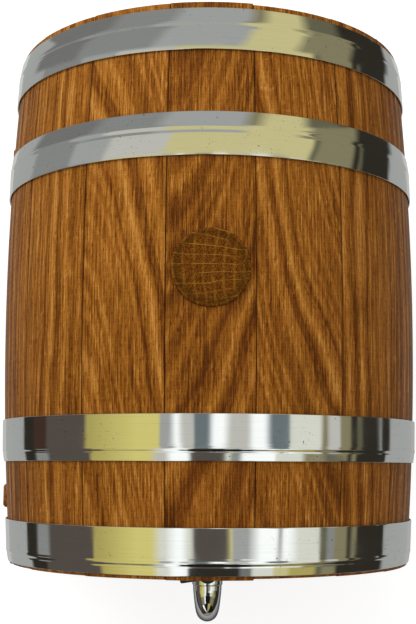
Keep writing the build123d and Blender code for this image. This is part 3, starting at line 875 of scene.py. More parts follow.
@dataclass(frozen=True)
class BoardCut:
    """How a board lay in its log, which decides its figure. Lengths in metres.

    A pith under the face gives arches, one far to the side gives straight lines, and a lean closes the arches
    into flames.
    """

    aside: float = 0.0  # from the board's centre line to the pith
    below: float = 0.050  # from the board's face down to the pith
    lean: float = 0.06  # how fast the pith sinks away from the face, metre for metre along Y
    sway: float = 0.0  # how fast the pith drifts sideways
    start: float = 0.0  # where along the log the board was cut
    tone: float = 0.0  # -1 dark to 1 pale

    @classmethod
    def drawn(cls, draw: random.Random) -> "BoardCut":
        """Draw a cut by lot.

        Args:
            draw: the seeded source of chance.

        Returns:
            The cut.
        """
        aside = draw.choice((-1, 1)) * draw.uniform(5 * MM, 85 * MM)
        below = draw.uniform(25 * MM, 75 * MM)
        lean = draw.choice((-1, 1)) * draw.uniform(0.02, 0.10)
        sway = draw.uniform(-0.03, 0.03)
        return cls(aside, below, lean, sway, start=draw.uniform(0.5, 9.0), tone=draw.uniform(-0.6, 0.6))

    def apply(
        self,
        piece: Piece,
        across: np.ndarray,
        along: np.ndarray,
        depth: np.ndarray,
        edge: np.ndarray,
        painted_shade: float = 0.0,
    ) -> None:
        """Write a board's place in its log onto its vertices.

        Args:
            piece: the board.
            across: each vertex's distance from the board's centre line.
            along: its distance along the grain.
            depth: its depth under the board's face.
            edge: its distance from the nearest joint.
            painted_shade: painted shade, as tone taken off in a metre from the middle towards the front.
        """
        side = across - self.aside - self.sway * along
        under = self.below + self.lean * along - depth
        write_attribute(piece, "grain", np.stack([side, along + self.start, under], axis=1))
        write_attribute(piece, "fibre", np.stack([across, along + self.start, depth], axis=1))
        write_attribute(piece, "edge", edge)
        # The board's own tone, with painted shade taken off towards the front.
        write_attribute(piece, "tone", self.tone + painted_shade * np.minimum(along, 0.0))


# ---------------- the cask's shape


@dataclass(frozen=True)
class CaskShape:
    """The cask's own frame and curve. Lengths in metres."""

    centre: Vector
    half_length: float
    bilge_radius: float = 130 * MM
    rise: float = 6.8 * MM
    stave_thickness: float = 20 * MM

    @classmethod
    def from_frame(cls) -> "CaskShape":
        """Find the cask's centre and length from the heads and staves of the frame."""
        board = sum(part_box("rear_head_board_3"), Vector()) / 2
        front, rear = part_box("stave_05")
        return cls(Vector((board.x, (front.y + rear.y) / 2, board.z)), (rear.y - front.y) / 2)

    def radius(self, along: Lengths) -> Lengths:
        """Outside radius of the staves at a distance from the middle of the cask."""
        arc = (self.half_length**2 + self.rise**2) / (2 * self.rise)
        return self.bilge_radius - arc + np.sqrt(arc**2 - along**2)

    def place(self, turn: Lengths, along: Lengths, radius: Lengths) -> np.ndarray:
        """Turn cask coordinates into places.

        Args:
            turn: angle from straight up towards +X.
            along: distance from the middle towards +Y.
            radius: distance from the cask's axis.

        Returns:
            The places, one row each.
        """
        turn, along, radius = np.broadcast_arrays(turn, along, radius)
        offsets = np.stack([radius * np.sin(turn), along, radius * np.cos(turn)], axis=-1)
        return np.asarray(self.centre) + offsets

    def unroll(self, places: np.ndarray) -> tuple[np.ndarray, np.ndarray, np.ndarray]:
        """Turn places into cask coordinates: turn, distance along and radius."""
        offsets = places - np.asarray(self.centre)
        return np.arctan2(offsets[:, 0], offsets[:, 2]), offsets[:, 1], np.hypot(offsets[:, 0], offsets[:, 2])


# ---------------- barrel


@dataclass
class Barrel:
    """The sixteen staves, with eased joints, bevelled chimes and croze grooves."""

    shape: CaskShape
    ease: float = 0.35 * MM  # broken edge along each joint
    chime_round: float = 1.1 * MM
    chime_lip: float = 11 * MM
    croze_middle: float = 21 * MM  # from a stave's end to the middle of the groove
    croze_mouth: float = 8 * MM
    croze_floor: float = 5 * MM
    croze_depth: float = 4 * MM
    lip_round: float = 0.8 * MM
    croze_round: float = 0.4 * MM
    inner_margin: float = 30 * MM  # from a stave's end to where its plain inside begins
    hole_fit: float = 0.1 * MM
    hole_reach: float = 6 * MM  # how far the cutter passes the bung's ends
    arc_steps: int = 44  # faces along a stave
    turn_steps: int = 12  # faces across a stave's flat
    corner_steps: int = 4
    seed: int = 11
    front_painted_shade: float = 2.4  # painted shade: tone taken off in a metre from the middle towards the tap, which darkens the front
    cuts: dict[str, BoardCut] = field(default_factory=dict)

    def section(self, front_end: float, rear_end: float) -> np.ndarray:
        """Draw a stave's lengthwise section.

        Args:
            front_end: where the stave ends towards the tap.
            rear_end: where it ends towards the back.

        Returns:
            The outline's points as (distance along, radius).
        """
        shape = self.shape
        outer = np.linspace(front_end, rear_end, self.arc_steps + 1)
        corners: list[Point] = [(y, shape.radius(y)) for y in outer]
        corners[0] = (*corners[0], self.chime_round)
        corners[-1] = (*corners[-1], self.chime_round)
        corners += self.inside(rear_end, 1)
        plain = shape.half_length - self.inner_margin
        inner = np.linspace(plain, -plain, self.arc_steps // 2 + 1)
        corners += [(y, shape.radius(y) - shape.stave_thickness) for y in inner]
        corners += reversed(self.inside(front_end, -1))
        return rounded(corners, self.corner_steps)

    def inside(self, end: float, side: int) -> list[Point]:
        """Draw the chime's lip and the croze of one end, from the end inwards."""
        shape = self.shape
        middle = shape.half_length - self.croze_middle
        near, far = middle - self.croze_mouth / 2, middle + self.croze_mouth / 2
        floor = shape.radius(middle) - shape.stave_thickness + self.croze_depth
        return [
            (end, shape.radius(end) - self.chime_lip, self.lip_round),
            (side * far, shape.radius(far) - shape.stave_thickness, self.croze_round),
            (side * (middle + self.croze_floor / 2), floor),
            (side * (middle - self.croze_floor / 2), floor),
            (side * near, shape.radius(near) - shape.stave_thickness, self.croze_round),
        ]

    def span(self, node: str) -> Pair:
        """Read the turn at which a stave's two sides stand from its CAD mesh."""
        turns, _, radii = self.shape.unroll(positions(frame["nodes"][node]))
        outside = turns[radii > self.shape.bilge_radius - self.shape.stave_thickness]
        middle = atan2(np.sin(outside).mean(), np.cos(outside).mean())
        apart = (outside - middle + pi) % tau - pi
        return middle + apart.min(), middle + apart.max()

    def build_stave(self, node: str, cut: BoardCut) -> Piece:
        """Make one stave.

        Args:
            node: the CAD node that it stands for.
            cut: how it lay in the log.

        Returns:
            The stave, before it is handed to its body.
        """
        shape = self.shape
        first, last = self.span(node)
        low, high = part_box(node)
        outline = self.section(low.y - shape.centre.y, high.y - shape.centre.y)
        ahead = np.roll(outline, -1, axis=0) - np.roll(outline, 1, axis=0)
        inward = np.stack([ahead[:, 1], -ahead[:, 0]], axis=1)
        inward /= np.linalg.norm(inward, axis=1)[:, None]
        # A stave is a row of these outlines, which shrink by a quarter round towards its two joints.
        corner = np.linspace(0, pi / 2, self.corner_steps + 1)
        steps = self.ease * (1 - np.cos(corner)) / shape.bilge_radius
        insets = self.ease * (1 - np.sin(corner))
        flat = np.linspace(first + steps[-1], last - steps[-1], self.turn_steps + 1)
        turns = np.concatenate([first + steps[:-1], flat, last - steps[:-1][::-1]])
        depths = np.concatenate([insets[:-1], np.zeros(len(flat)), insets[:-1][::-1]])
        rings = [shape.place(turn, *(outline + inward * depth).T) for turn, depth in zip(turns, depths)]
        piece = mesh_object(f"{node}_finished", skin(rings), STAVE_OAK)
        if node == "bung_stave":
            self.bore(piece)
        turn, along, radius = shape.unroll(positions(piece))
        middle = (first + last) / 2
        swing = (turn - middle + pi) % tau - pi
        across = swing * shape.bilge_radius
        edge = (last - first) / 2 * shape.bilge_radius - np.abs(across)
        cut.apply(piece, across, along, shape.radius(along) - radius, edge, self.front_painted_shade)
        return piece

    def bore(self, piece: Piece) -> None:
        """Cut the bung's tapered hole, from the bung's own top and foot, through a stave."""
        bung = Bung()
        centre, foot, top = bung.ends()
        slope = bung.taper / (top - foot)
        flare = slope * self.hole_reach
        profile = [
            (foot - self.hole_reach, bung.radius - bung.taper - flare + self.hole_fit),
            (top + self.hole_reach, bung.radius + flare + self.hole_fit),
        ]
        shape = lathe(np.array(profile), centre, Axis.Z.vector, WIDE_ROUND, False)
        join(piece, mesh_object("bung_hole", shape, STAVE_OAK), "DIFFERENCE")

    def build(self) -> None:
        """Make every stave."""
        draw = random.Random(self.seed)
        for node in ["bung_stave", *[f"stave_{number:02d}" for number in range(2, 17)]]:
            drawn = BoardCut.drawn(draw)
            piece = self.build_stave(node, self.cuts.get(node, drawn))
            finish_piece(piece, "cask", "stave_oak", node)


# ---------------- heads


@dataclass
class Heads:
    """The two heads: boards with eased joints, and their hidden dowels."""

    shape: CaskShape
    ease: float = 0.4 * MM
    boards: int = 5
    seed: int = 5
    seamless: float = 10 * MM  # a board's side this near to the staves' inside, or nearer, is no joint

    def build(self) -> None:
        """Dress the boards and dowels of both heads."""
        draw = random.Random(self.seed)
        for end in End:
            for number in range(1, self.boards + 1):
                node = f"{end.label}_head_board_{number}"
                self.build_board(node, end, BoardCut.drawn(draw))
            dress_node(f"{end.label}_head_dowels", DOWEL_BEECH)

    def build_board(self, node: str, end: End, cut: BoardCut) -> None:
        """Make one board, with its grain upright.

        Args:
            node: the CAD node that it stands for.
            end: the end of the cask that it closes.
            cut: how it lay in the log.
        """
        piece = eased_copy(node, self.ease, HEAD_OAK)
        low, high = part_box(node)
        places = positions(piece)
        across = places[:, 0] - (low.x + high.x) / 2
        along = places[:, 2] - self.shape.centre.z
        face = high.y if end is End.REAR else low.y
        depth = np.abs(places[:, 1] - face)
        rim = self.shape.bilge_radius - self.shape.stave_thickness - self.seamless
        joints = [x for x in (low.x, high.x) if abs(x - self.shape.centre.x) < rim]
        edge = np.min([np.abs(places[:, 0] - joint) for joint in joints], axis=0)
        cut.apply(piece, across, along, depth, edge)
        finish_piece(piece, "cask", "head_oak", node)


# ---------------- hoops


@dataclass(frozen=True)
class HoopPlace:
    """Where one hoop sits."""

    node: str
    end: End
    wide_edge: float  # from the middle of the cask to the hoop's wide edge
    lap_turn: float  # turn of the lap's middle from the top
    crease: float = 17 * MM  # from the wide edge to the crease
    gaps: Point = (0.5 * MM, 0.9 * MM, 0.15 * MM)  # off the staves, at edge, crease and edge
    # The step that the rolls left: distances before the crease, and how far the strip lies out there.
    step: tuple[Point, ...] = ((4.4 * MM, -0.01 * MM), (2.7 * MM, -0.07 * MM), (0.9 * MM, 0.05 * MM))
    trough: float = 0.0  # how far the strip lies in at the crease
    flat: float = 0.0  # how near to its edges the strip is flat; at 0 it looks a little domed


# The front hoops were rolled deeper, with their crease nearer to the narrow edge.
FRONT_ROLL = (
    20.6 * MM,
    (0.5 * MM, 0.96 * MM, 0.20 * MM),
    ((4.8 * MM, -0.01 * MM), (3.4 * MM, -0.04 * MM), (2.0 * MM, 0.12 * MM), (0.8 * MM, -0.28 * MM)),
    0.30 * MM,
    0.5 * MM,
)


@dataclass
class Hoops:
    """Four creased steel hoops, each with a riveted lap underneath."""

    shape: CaskShape
    width: float = 25 * MM
    thickness: float = 0.8 * MM
    crease_radius: float = 11 * MM
    step_radius: float = 5 * MM
    edge_round: float = 0.22 * MM
    lap_length: float = 32 * MM
    rivet_radius: float = 1.9 * MM
    rivet_head_radius: float = 3.6 * MM
    rivet_head_height: float = 1.1 * MM
    rivet_first: float = 4.6 * MM
    rivet_pitch: float = 8 * MM
    ring_steps: int = 288
    lap_steps: int = 16
    places: tuple[HoopPlace, ...] = (
        HoopPlace("front_head_hoop", End.FRONT, 131.2 * MM, radians(172), *FRONT_ROLL),
        HoopPlace("front_bilge_hoop", End.FRONT, 71.8 * MM, radians(191), *FRONT_ROLL),
        HoopPlace("rear_bilge_hoop", End.REAR, 68.0 * MM, radians(166)),
        HoopPlace("rear_head_hoop", End.REAR, 129.2 * MM, radians(186)),
    )

    def band_tree(self) -> GeometryTree:
        """Make the tree that bends a strip's section round the cask."""
        sizes = {"Radius": "Float", "Steps": "Int", "Start": "Float", "Sweep": "Float"}
        band = GeometryTree("hoop_band", sizes | {"Closed": "Bool", "Centre": "Vector"})
        arc = {"Resolution": band.size("Steps"), "Radius": band.size("Radius")}
        arc |= {"Start Angle": band.size("Start"), "Sweep Angle": band.size("Sweep")}
        path = band.add("GeometryNodeCurveArc", arc, mode="RADIUS")
        path = band.add("GeometryNodeSetSplineCyclic", {"Geometry": path, "Cyclic": band.size("Closed")})
        strip = band.add("GeometryNodeMeshToCurve", {"Mesh": band.size("Geometry")})
        sweep = {"Curve": path, "Profile Curve": strip, "Fill Caps": True}
        swept = band.add("GeometryNodeCurveToMesh", sweep)
        upright = {"Geometry": swept, "Rotation": (pi / 2, 0, 0), "Translation": band.size("Centre")}
        band.close(band.add("GeometryNodeTransform", upright))
        return band

    def section(self, place: HoopPlace, lift: float) -> np.ndarray:
        """Draw a strip's section.

        Args:
            place: where the hoop sits.
            lift: how far the strip lies out from the staves beyond its own gap.

        Returns:
            The outline's points as (radius, distance along Y from the middle).
        """
        steps = (0.0, place.crease, self.width)
        inner = []
        for step, gap in zip(steps, place.gaps):
            along = place.wide_edge + step
            inner.append((self.shape.radius(along) + gap + lift, place.end.value * along))
        wide, crease, narrow = ((radius + self.thickness, along) for radius, along in inner)
        outer: list[Point] = [(*narrow, self.edge_round)]
        length = self.width - place.crease
        for before in (place.flat, length - 2 * place.flat) if place.flat else ():
            share = before / length
            radius, along = (there + (here - there) * share for there, here in zip(narrow, crease))
            outer.append((radius - place.trough * share, along))
        outer.append((crease[0] - place.trough, crease[1], self.step_radius))
        support = ((place.crease - place.flat, 0.0),) if place.flat else ()
        for before, out in (*reversed(place.step), *support):
            share = before / place.crease
            radius, along = (there + (here - there) * (1 - share) for there, here in zip(wide, crease))
            outer.append((radius + out, along, self.step_radius))
        outer.append((*wide, self.edge_round))
        rounds = (self.edge_round, self.crease_radius, self.edge_round)
        corners = [(*point, size) for point, size in zip(inner, rounds)] + outer
        return rounded(corners, 6)

    def strip(self, name: str, place: HoopPlace, lift: float, radius: float) -> Piece:
        """Make the wire outline of a strip's section, ready for the tree."""
        points = [(reach - radius, along, 0.0) for reach, along in self.section(place, lift)]
        return raw_object(name, points, [(at, (at + 1) % len(points)) for at in range(len(points))])

    def build(self) -> None:
        """Make the hoops and their rivets."""
        band = self.band_tree()
        centre = tuple(self.shape.centre)
        radius = self.shape.bilge_radius
        lap = self.lap_length / radius
        turn = tau * (self.ring_steps - 1) / self.ring_steps
        for place in self.places:
            start = pi / 2 - place.lap_turn - lap / 2
            for name, lift, steps, begin, sweep in (
                ("finished", 0.0, self.ring_steps, 0.0, turn),
                ("lap", self.thickness, self.lap_steps, start, lap),
            ):
                piece = self.strip(f"{place.node}_{name}", place, lift, radius)
                sizes = {"Radius": radius, "Steps": steps, "Start": begin, "Sweep": sweep}
                band.run(piece, sizes | {"Closed": name != "lap", "Centre": centre, "Material": HOOP_STEEL})
                outwards(piece, WELD / 2)
                finish_piece(piece, "cask", "hoop_steel", place.node)
        self.build_rivets()

    def rivet_seats(self) -> list[tuple[Vector, Vector]]:
        """Find each rivet's seat on the outside of its lap, with the direction that it faces."""
        seats = []
        for place in self.places:
            side, turn = place.end.value, place.lap_turn
            wide = self.shape.radius(place.wide_edge) + place.gaps[0]
            crease = self.shape.radius(place.wide_edge + place.crease) + place.gaps[1]
            lean = atan2(crease - wide, place.crease)
            out = Vector((sin(turn), 0, cos(turn)))
            along = Vector((0, side, 0))
            normal = out * cos(lean) - along * sin(lean)
            downhill = along * cos(lean) + out * sin(lean)
            first = self.shape.centre + out * wide + along * place.wide_edge + normal * 2 * self.thickness
            for step in (0, self.rivet_pitch):
                seats.append((first + downhill * (self.rivet_first + step), normal))
        return seats

    def build_rivets(self) -> None:
        """Set a low-domed rivet on every seat."""
        sizes = ("Head Radius", "Head Height", "Shank Radius", "Shank Length")
        tree = GeometryTree("rivet_set", dict.fromkeys(sizes, "Float"))
        head_radius, head_height, shank_radius, shank_length = map(tree.size, sizes)
        dome = tree.add("GeometryNodeMeshUVSphere", {"Segments": 32, "Rings": 16, "Radius": 1.0})
        scale = tree.add("ShaderNodeCombineXYZ", (head_radius, head_radius, head_height))
        dome = tree.add("GeometryNodeTransform", {"Geometry": dome, "Scale": scale})
        rod = {"Vertices": 24, "Radius": shank_radius, "Depth": shank_length}
        shank = tree.add("GeometryNodeMeshCylinder", rod)
        sink = tree.add(MATH, (shank_length, -0.5), operation="MULTIPLY")
        drop = tree.add("ShaderNodeCombineXYZ", {"Z": sink})
        shank = tree.add("GeometryNodeTransform", {"Geometry": shank, "Translation": drop})
        rivet = tree.add("GeometryNodeJoinGeometry", {})
        for part in (dome, shank):
            tree.tree.links.new(part, rivet.node.inputs[0])
        named = {"Name": "facing"}
        facing = tree.add("GeometryNodeInputNamedAttribute", named, data_type="FLOAT_VECTOR")
        turn = tree.add("FunctionNodeAlignRotationToVector", {"Vector": facing}, axis="Z")
        tree.scatter(rivet, {"Rotation": turn})

        seats = self.rivet_seats()
        rivets = raw_object("hoop_rivets_finished", [seat for seat, _ in seats])
        write_attribute(rivets, "facing", np.array([tuple(normal) for _, normal in seats]))
        lengths = (self.rivet_head_radius, self.rivet_head_height, self.rivet_radius, 2 * self.thickness)
        tree.run(rivets, dict(zip(sizes, lengths)) | {"Material": RIVET_STEEL})
        finish_piece(rivets, "cask", "rivet_steel", "hoop_rivets")


# ---------------- bung


@dataclass
class Bung:
    """The turned oak bung, its end grain upwards."""

    radius: float = 21.6 * MM  # at its top
    dome: float = 0.5 * MM
    round: float = 2.2 * MM
    foot_chamfer: float = 1.1 * MM
    taper: float = 2.0 * MM  # radius lost down to its foot
    eye: float = 0.02  # share of the radius that the caps in the middle take
    crown: float = 0.86  # share of the radius where the domed face ends
    crown_steps: int = 12

    def ends(self) -> tuple[Vector, float, float]:
        """Read where the bung's axis meets height 0, and the heights of its foot and top, from the frame."""
        low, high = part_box("bung")
        return Vector(((low.x + high.x) / 2, (low.y + high.y) / 2, 0.0)), low.z, high.z

    def build(self) -> None:
        """Make the bung."""
        centre, foot, top = self.ends()
        shares = np.linspace(self.eye, self.crown, self.crown_steps)
        crown = [(top - self.dome * share**2, self.radius * share) for share in shares]
        rim: list[Point] = [
            (top - self.dome, self.radius, self.round),
            (foot, self.radius - self.taper, self.foot_chamfer),
            (foot, self.eye * self.radius),
        ]
        profile = rounded([*crown, *rim], 6, closed=False)
        shape = lathe(profile, centre, Axis.Z.vector, WIDE_ROUND, False)
        piece = mesh_object("bung_finished", shape, BUNG_OAK)
        places = positions(piece) - np.asarray(centre)
        pith = EndGrainFinish.reach
        write_attribute(piece, "grain", np.stack([places[:, 0] - pith, places[:, 2], places[:, 1]], axis=1))
        finish_piece(piece, "bung", "bung_wood", "bung")


# ---------------- tap


@dataclass
class Tap:
    """The ball-valve tap: chromed body and spout, gaskets, nuts and the black quarter-turn handle."""

    face: Vector  # where the tap's axis meets the head's outer face
    stem: Vector  # where the stem's axis meets the tap's axis
    shank_radius: float = 10 * MM
    shank_start: float = -29.5 * MM  # this and the next distances from the head's outer face
    gasket: float = 2.5 * MM
    gasket_radius: float = 15 * MM
    gasket_round: float = 0.7 * MM
    flange_end: float = 6.5 * MM
    flange_radius: float = 16 * MM
    neck_radius: float = 8.6 * MM
    shank_round: float = 0.6 * MM
    flange_rounds: Pair = (0.5 * MM, 1.4 * MM)  # against the gasket, and in front
    neck_rounds: Pair = (1.6 * MM, 1.2 * MM)  # at the flange, and at the chamber's cone
    chamber_start: float = 14 * MM
    chamber_end: float = 35 * MM
    chamber_radius: float = 10.4 * MM
    chamber_bore: float = 8.3 * MM
    chamber_rounds: Pair = (1.0 * MM, 0.9 * MM)  # behind, and in front
    seat_start: float = 17 * MM
    bore: float = 4.5 * MM
    boss_radius: float = 6.6 * MM
    boss_top: float = 17 * MM
    boss_round: float = 0.5 * MM
    packing_radius: float = 4.95 * MM
    packing_floor: float = 11 * MM
    packing_flats: float = 13 * MM
    packing_thickness: float = 3.5 * MM
    stem_radius: float = 3.5 * MM
    spout_root: float = 9.8 * MM
    spout_tip: float = 7.3 * MM
    spout_bore: float = 5 * MM
    spout_bend: float = 16.5 * MM
    spout_reach: float = 54.0 * MM
    spout_drop: float = 32 * MM
    spout_steps: int = 40  # rings round the bend
    lip: float = 0.7 * MM
    lip_height: float = 3.2 * MM
    lip_start: float = 0.8 * MM  # from where the spout flares to the lip's upper edge
    lip_rounds: Point = (1.2 * MM, 0.8 * MM, 0.9 * MM, 0.4 * MM)  # from the flare down to the bore
    handle_floor: float = 22 * MM
    hub_height: float = 6 * MM
    nut_flats: float = 7 * MM
    nut_thickness: float = 3.2 * MM
    stud_radius: float = 2 * MM
    nut_fit: float = 0.05 * MM
    nut_chamfer: float = 0.15 * MM
    nut_crown: float = 0.985  # top face over the flats
    nut_slope: float = radians(30)  # of the chamfer that takes most off the corners
    handle_turn: float = radians(8.4)
    handle_ease: float = 0.35 * MM
    boss_sink: float = 0.4 * MM  # how far the boss starts outside the chamber's bore

    @classmethod
    def from_frame(cls) -> "Tap":
        """Find the tap's axis from the frame's own joint and gasket."""
        joint = next(joint for joint in frame["joints"] if joint["name"] == "tap_turn")
        stem = Vector(joint["pos_m"])
        _, gasket_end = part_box("tap_outer_gasket")
        return cls(Vector((stem.x, gasket_end.y, stem.z)), stem)

    def build(self) -> None:
        """Make every piece of the tap."""
        self.build_body()
        self.build_spout()
        self.build_gaskets()
        self.build_nuts()
        self.build_handle()
        for node, material in (
            ("tap_back_nut", NUT_BRASS),
            ("valve_ball", TAP_CHROME),
            ("valve_seats", SEAT_PTFE),
            ("stem_packing", SEAT_PTFE),
        ):
            dress_node(node, material)

    def build_body(self) -> None:
        """Turn the shank, flange, neck and chamber, and set the stem's boss on top."""
        cone = self.chamber_start - self.chamber_radius + self.neck_radius
        outline: list[Point] = [
            (self.shank_start, self.bore),
            (self.shank_start, self.shank_radius, self.shank_round),
            (self.gasket, self.shank_radius),
            (self.gasket, self.flange_radius, self.flange_rounds[0]),
            (self.flange_end, self.flange_radius, self.flange_rounds[1]),
            (self.flange_end, self.neck_radius, self.neck_rounds[0]),
            (cone, self.neck_radius, self.neck_rounds[1]),
            (self.chamber_start, self.chamber_radius, self.chamber_rounds[0]),
            (self.chamber_end, self.chamber_radius, self.chamber_rounds[1]),
            (self.chamber_end, self.chamber_bore),
            (self.seat_start, self.chamber_bore),
            (self.seat_start, self.bore),
        ]
        shape = lathe(rounded(outline, 5), self.face, Axis.FRONT.vector, WIDE_ROUND)
        piece = mesh_object("tap_body_finished", shape, TAP_CHROME)
        boss: list[Point] = [
            (self.chamber_bore + self.boss_sink, self.stem_radius),
            (self.chamber_bore + self.boss_sink, self.boss_radius),
            (self.boss_top, self.boss_radius, self.boss_round),
            (self.boss_top, self.packing_radius),
            (self.packing_floor, self.packing_radius),
            (self.packing_floor, self.stem_radius),
        ]
        collar = lathe(rounded(boss), self.stem, Axis.Z.vector)
        join(piece, mesh_object("boss", collar, TAP_CHROME), "UNION")
        finish_piece(piece, "cask", "tap_chrome", "tap_body")

    def build_spout(self) -> None:
        """Sweep the tapering spout round its bend and down to its lip."""
        down, front = Axis.DOWN.vector, Axis.FRONT.vector
        bend_start = self.spout_reach - self.spout_bend
        hub = self.face + front * bend_start + down * self.spout_bend
        bend: list[tuple[Vector, Vector, float]] = []
        for share in np.linspace(0.0, 1.0, self.spout_steps + 1):
            spoke = -down * cos(pi / 2 * share) + front * sin(pi / 2 * share)
            radius = self.spout_root + (self.spout_tip - self.spout_root) * share
            bend.append((hub + spoke * self.spout_bend, spoke, radius))
        sweep = [
            (self.face + front * reach, -down, self.spout_root)
            for reach in (self.chamber_end, (self.chamber_end + bend_start) / 2)
        ] + bend
        foot = self.face + front * self.spout_reach
        lip_top, wide = self.spout_drop - self.lip_height, self.spout_tip + self.lip
        flare, upper, lower, mouth = self.lip_rounds
        lip: list[Point] = [
            (self.spout_bend, self.spout_tip),
            (lip_top - self.lip_start, self.spout_tip, flare),
            (lip_top, wide, upper),
            (self.spout_drop, wide, lower),
            (self.spout_drop, self.spout_bore, mouth),
            (self.spout_bend, self.spout_bore),
        ]
        outline = rounded(lip, 5, closed=False)[1:-1]
        sweep += [(foot + down * drop, front, radius) for drop, radius in outline]
        sweep += [(centre, spoke, self.spout_bore) for centre, spoke, _ in reversed(bend)]
        sweep.append((self.face + front * self.chamber_end, -down, self.spout_bore))
        rings = [ring(centre, Axis.X.vector, spoke, [radius] * ROUND) for centre, spoke, radius in sweep]
        piece = mesh_object("tap_spout_finished", skin(rings, wrap=True), TAP_CHROME)
        finish_piece(piece, "cask", "tap_chrome", "tap_spout")

    def build_gaskets(self) -> None:
        """Turn the two washers, their rims bulged a little by the squeeze."""
        for node in ("tap_outer_gasket", "tap_inner_gasket"):
            low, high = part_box(node)
            foot = Vector((self.face.x, high.y, self.face.z))
            thickness = high.y - low.y
            outline: list[Point] = [
                (0.0, self.shank_radius),
                (0.0, self.gasket_radius, self.gasket_round),
                (thickness, self.gasket_radius, self.gasket_round),
                (thickness, self.shank_radius),
            ]
            shape = lathe(rounded(outline, 5), foot, Axis.FRONT.vector)
            finish_piece(mesh_object(f"{node}_finished", shape, GASKET_RUBBER), "cask", "gasket_rubber", node)

    def hex_nut(self, name: str, sizes: Point, material: Material) -> Piece:
        """Make a chamfered hexagon nut on the stem.

        Args:
            name: the piece's name.
            sizes: height of its underside above the tap's axis, width across its flats, its own height and
                the radius of its hole.
            material: its finish.

        Returns:
            The nut.
        """
        foot, flats, thickness, bore = sizes
        turns = np.arange(ROUND) * tau / ROUND
        hexagon = flats / 2 / np.cos((turns + pi / 6) % (pi / 3) - pi / 6)
        crown = np.full(len(turns), flats / 2 * self.nut_crown)
        hole = np.full(len(turns), bore)
        across = Vector((cos(self.handle_turn), sin(self.handle_turn), 0))
        up = Axis.Z.vector.cross(across)
        rings = []
        for height, radii in (
            (foot, hole),
            (foot, hexagon - self.nut_chamfer),
            (foot + self.nut_chamfer, hexagon),
            (foot + thickness, hexagon),
            (foot + thickness, crown),
            (foot + thickness, hole),
        ):
            rings.append(ring(self.stem + Axis.Z.vector * height, across, up, radii))
        rings[3][:, 2] -= (hexagon - crown) * tan(self.nut_slope)
        return mesh_object(name, skin(rings, wrap=True), material)

    def build_nuts(self) -> None:
        """Make the packing nut on the boss and the nut that holds the handle."""
        bore = self.stem_radius + self.nut_fit
        sizes = (self.boss_top, self.packing_flats, self.packing_thickness, bore)
        packing = self.hex_nut("packing_nut_finished", sizes, TAP_CHROME)
        finish_piece(packing, "cask", "tap_chrome", "packing_nut")
        sizes = (self.handle_floor + self.hub_height, self.nut_flats, self.nut_thickness, self.stud_radius)
        nut = self.hex_nut("handle_nut_finished", sizes, SCREW_STEEL)
        finish_piece(nut, "valve", "fastener_steel", "handle_nut")

    def build_handle(self) -> None:
        """Break the edges of the handle, and finish the stem under it."""
        handle = eased_copy("tap_handle", self.handle_ease, HANDLE_BLACK)
        finish_piece(handle, "valve", "handle_black", "tap_handle")
        dress_node("valve_stem", NUT_BRASS)


# ---------------- stand


@dataclass
class Stand:
    """Two saddles across and two rails along, with broken edges, and the screws that hold them."""

    shape: CaskShape
    ease: float = 0.9 * MM
    screw_radius: float = 2 * MM
    screw_head: float = 4 * MM
    screw_length: float = 34 * MM
    slot_width: float = 1.0 * MM
    slot_length: float = 4.6 * MM
    slot_depth: float = 1.2 * MM
    seed: int = 23

    def build(self) -> None:
        """Make the boards and the screws."""
        draw = random.Random(self.seed)
        for node in ("front_saddle", "rear_saddle", "left_rail", "right_rail"):
            self.build_board(node, node.endswith("saddle"), BoardCut.drawn(draw))
        self.build_screws()

    def build_board(self, node: str, crosswise: bool, cut: BoardCut) -> None:
        """Make a board of the stand.

        Args:
            node: the CAD node that it stands for.
            crosswise: its grain runs along X rather than Y.
            cut: how it lay in the log.
        """
        piece = eased_copy(node, self.ease, STAND_OAK)
        low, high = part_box(node)
        half = (high - low) / 2
        x, y, z = (positions(piece) - np.asarray((low + high) / 2)).T
        edge = np.full(len(x), UNSEAMED)
        if crosswise:
            cut.apply(piece, z, x, y + half.y, edge)
        else:
            cut.apply(piece, x, y, half.z - z, edge)
        finish_piece(piece, "stand", "stand_oak", node)

    def build_screws(self) -> None:
        """Drive a slotted countersunk screw at every crossing, from below."""
        sizes = {"Shank Radius": "Float", "Head Radius": "Float", "Length": "Float", "Slot": "Vector"}
        tree = GeometryTree("screw_set", sizes)
        thin, wide, length, slot = map(tree.size, sizes)
        depth = tree.add(MATH, (wide, thin), operation="SUBTRACT")
        cone = {"Vertices": 40, "Radius Bottom": wide, "Radius Top": thin, "Depth": depth}
        head = tree.add("GeometryNodeMeshCone", cone)
        shank = tree.add("GeometryNodeMeshCylinder", {"Vertices": 40, "Radius": thin, "Depth": length})
        lift = tree.add("ShaderNodeCombineXYZ", {"Z": tree.add(MATH, (length, 0.5), operation="MULTIPLY")})
        shank = tree.add("GeometryNodeTransform", {"Geometry": shank, "Translation": lift})
        screw = tree.add("GeometryNodeMeshBoolean", {}, operation="UNION", solver="EXACT")
        for part in (head, shank):
            tree.tree.links.new(part, screw.node.inputs["Mesh 2"])
        cut = {"Mesh 1": screw, "Mesh 2": tree.add("GeometryNodeMeshCube", {"Size": slot})}
        tree.scatter(tree.add("GeometryNodeMeshBoolean", cut, operation="DIFFERENCE", solver="EXACT"))

        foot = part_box("stand_screws")[0].z
        rails = [sum(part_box(node), Vector()) / 2 for node in ("left_rail", "right_rail")]
        saddles = [sum(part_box(node), Vector()) / 2 for node in ("front_saddle", "rear_saddle")]
        spots = [(rail.x, saddle.y, foot) for rail in rails for saddle in saddles]
        screws = raw_object("stand_screws_finished", spots)
        slot_size = (self.slot_length, self.slot_width, 2 * self.slot_depth)
        lengths = (self.screw_radius, self.screw_head, self.screw_length, slot_size)
        tree.run(screws, dict(zip(sizes, lengths)) | {"Material": SCREW_STEEL})
        finish_piece(screws, "stand", "fastener_steel", "stand_screws")


# ---------------- studio


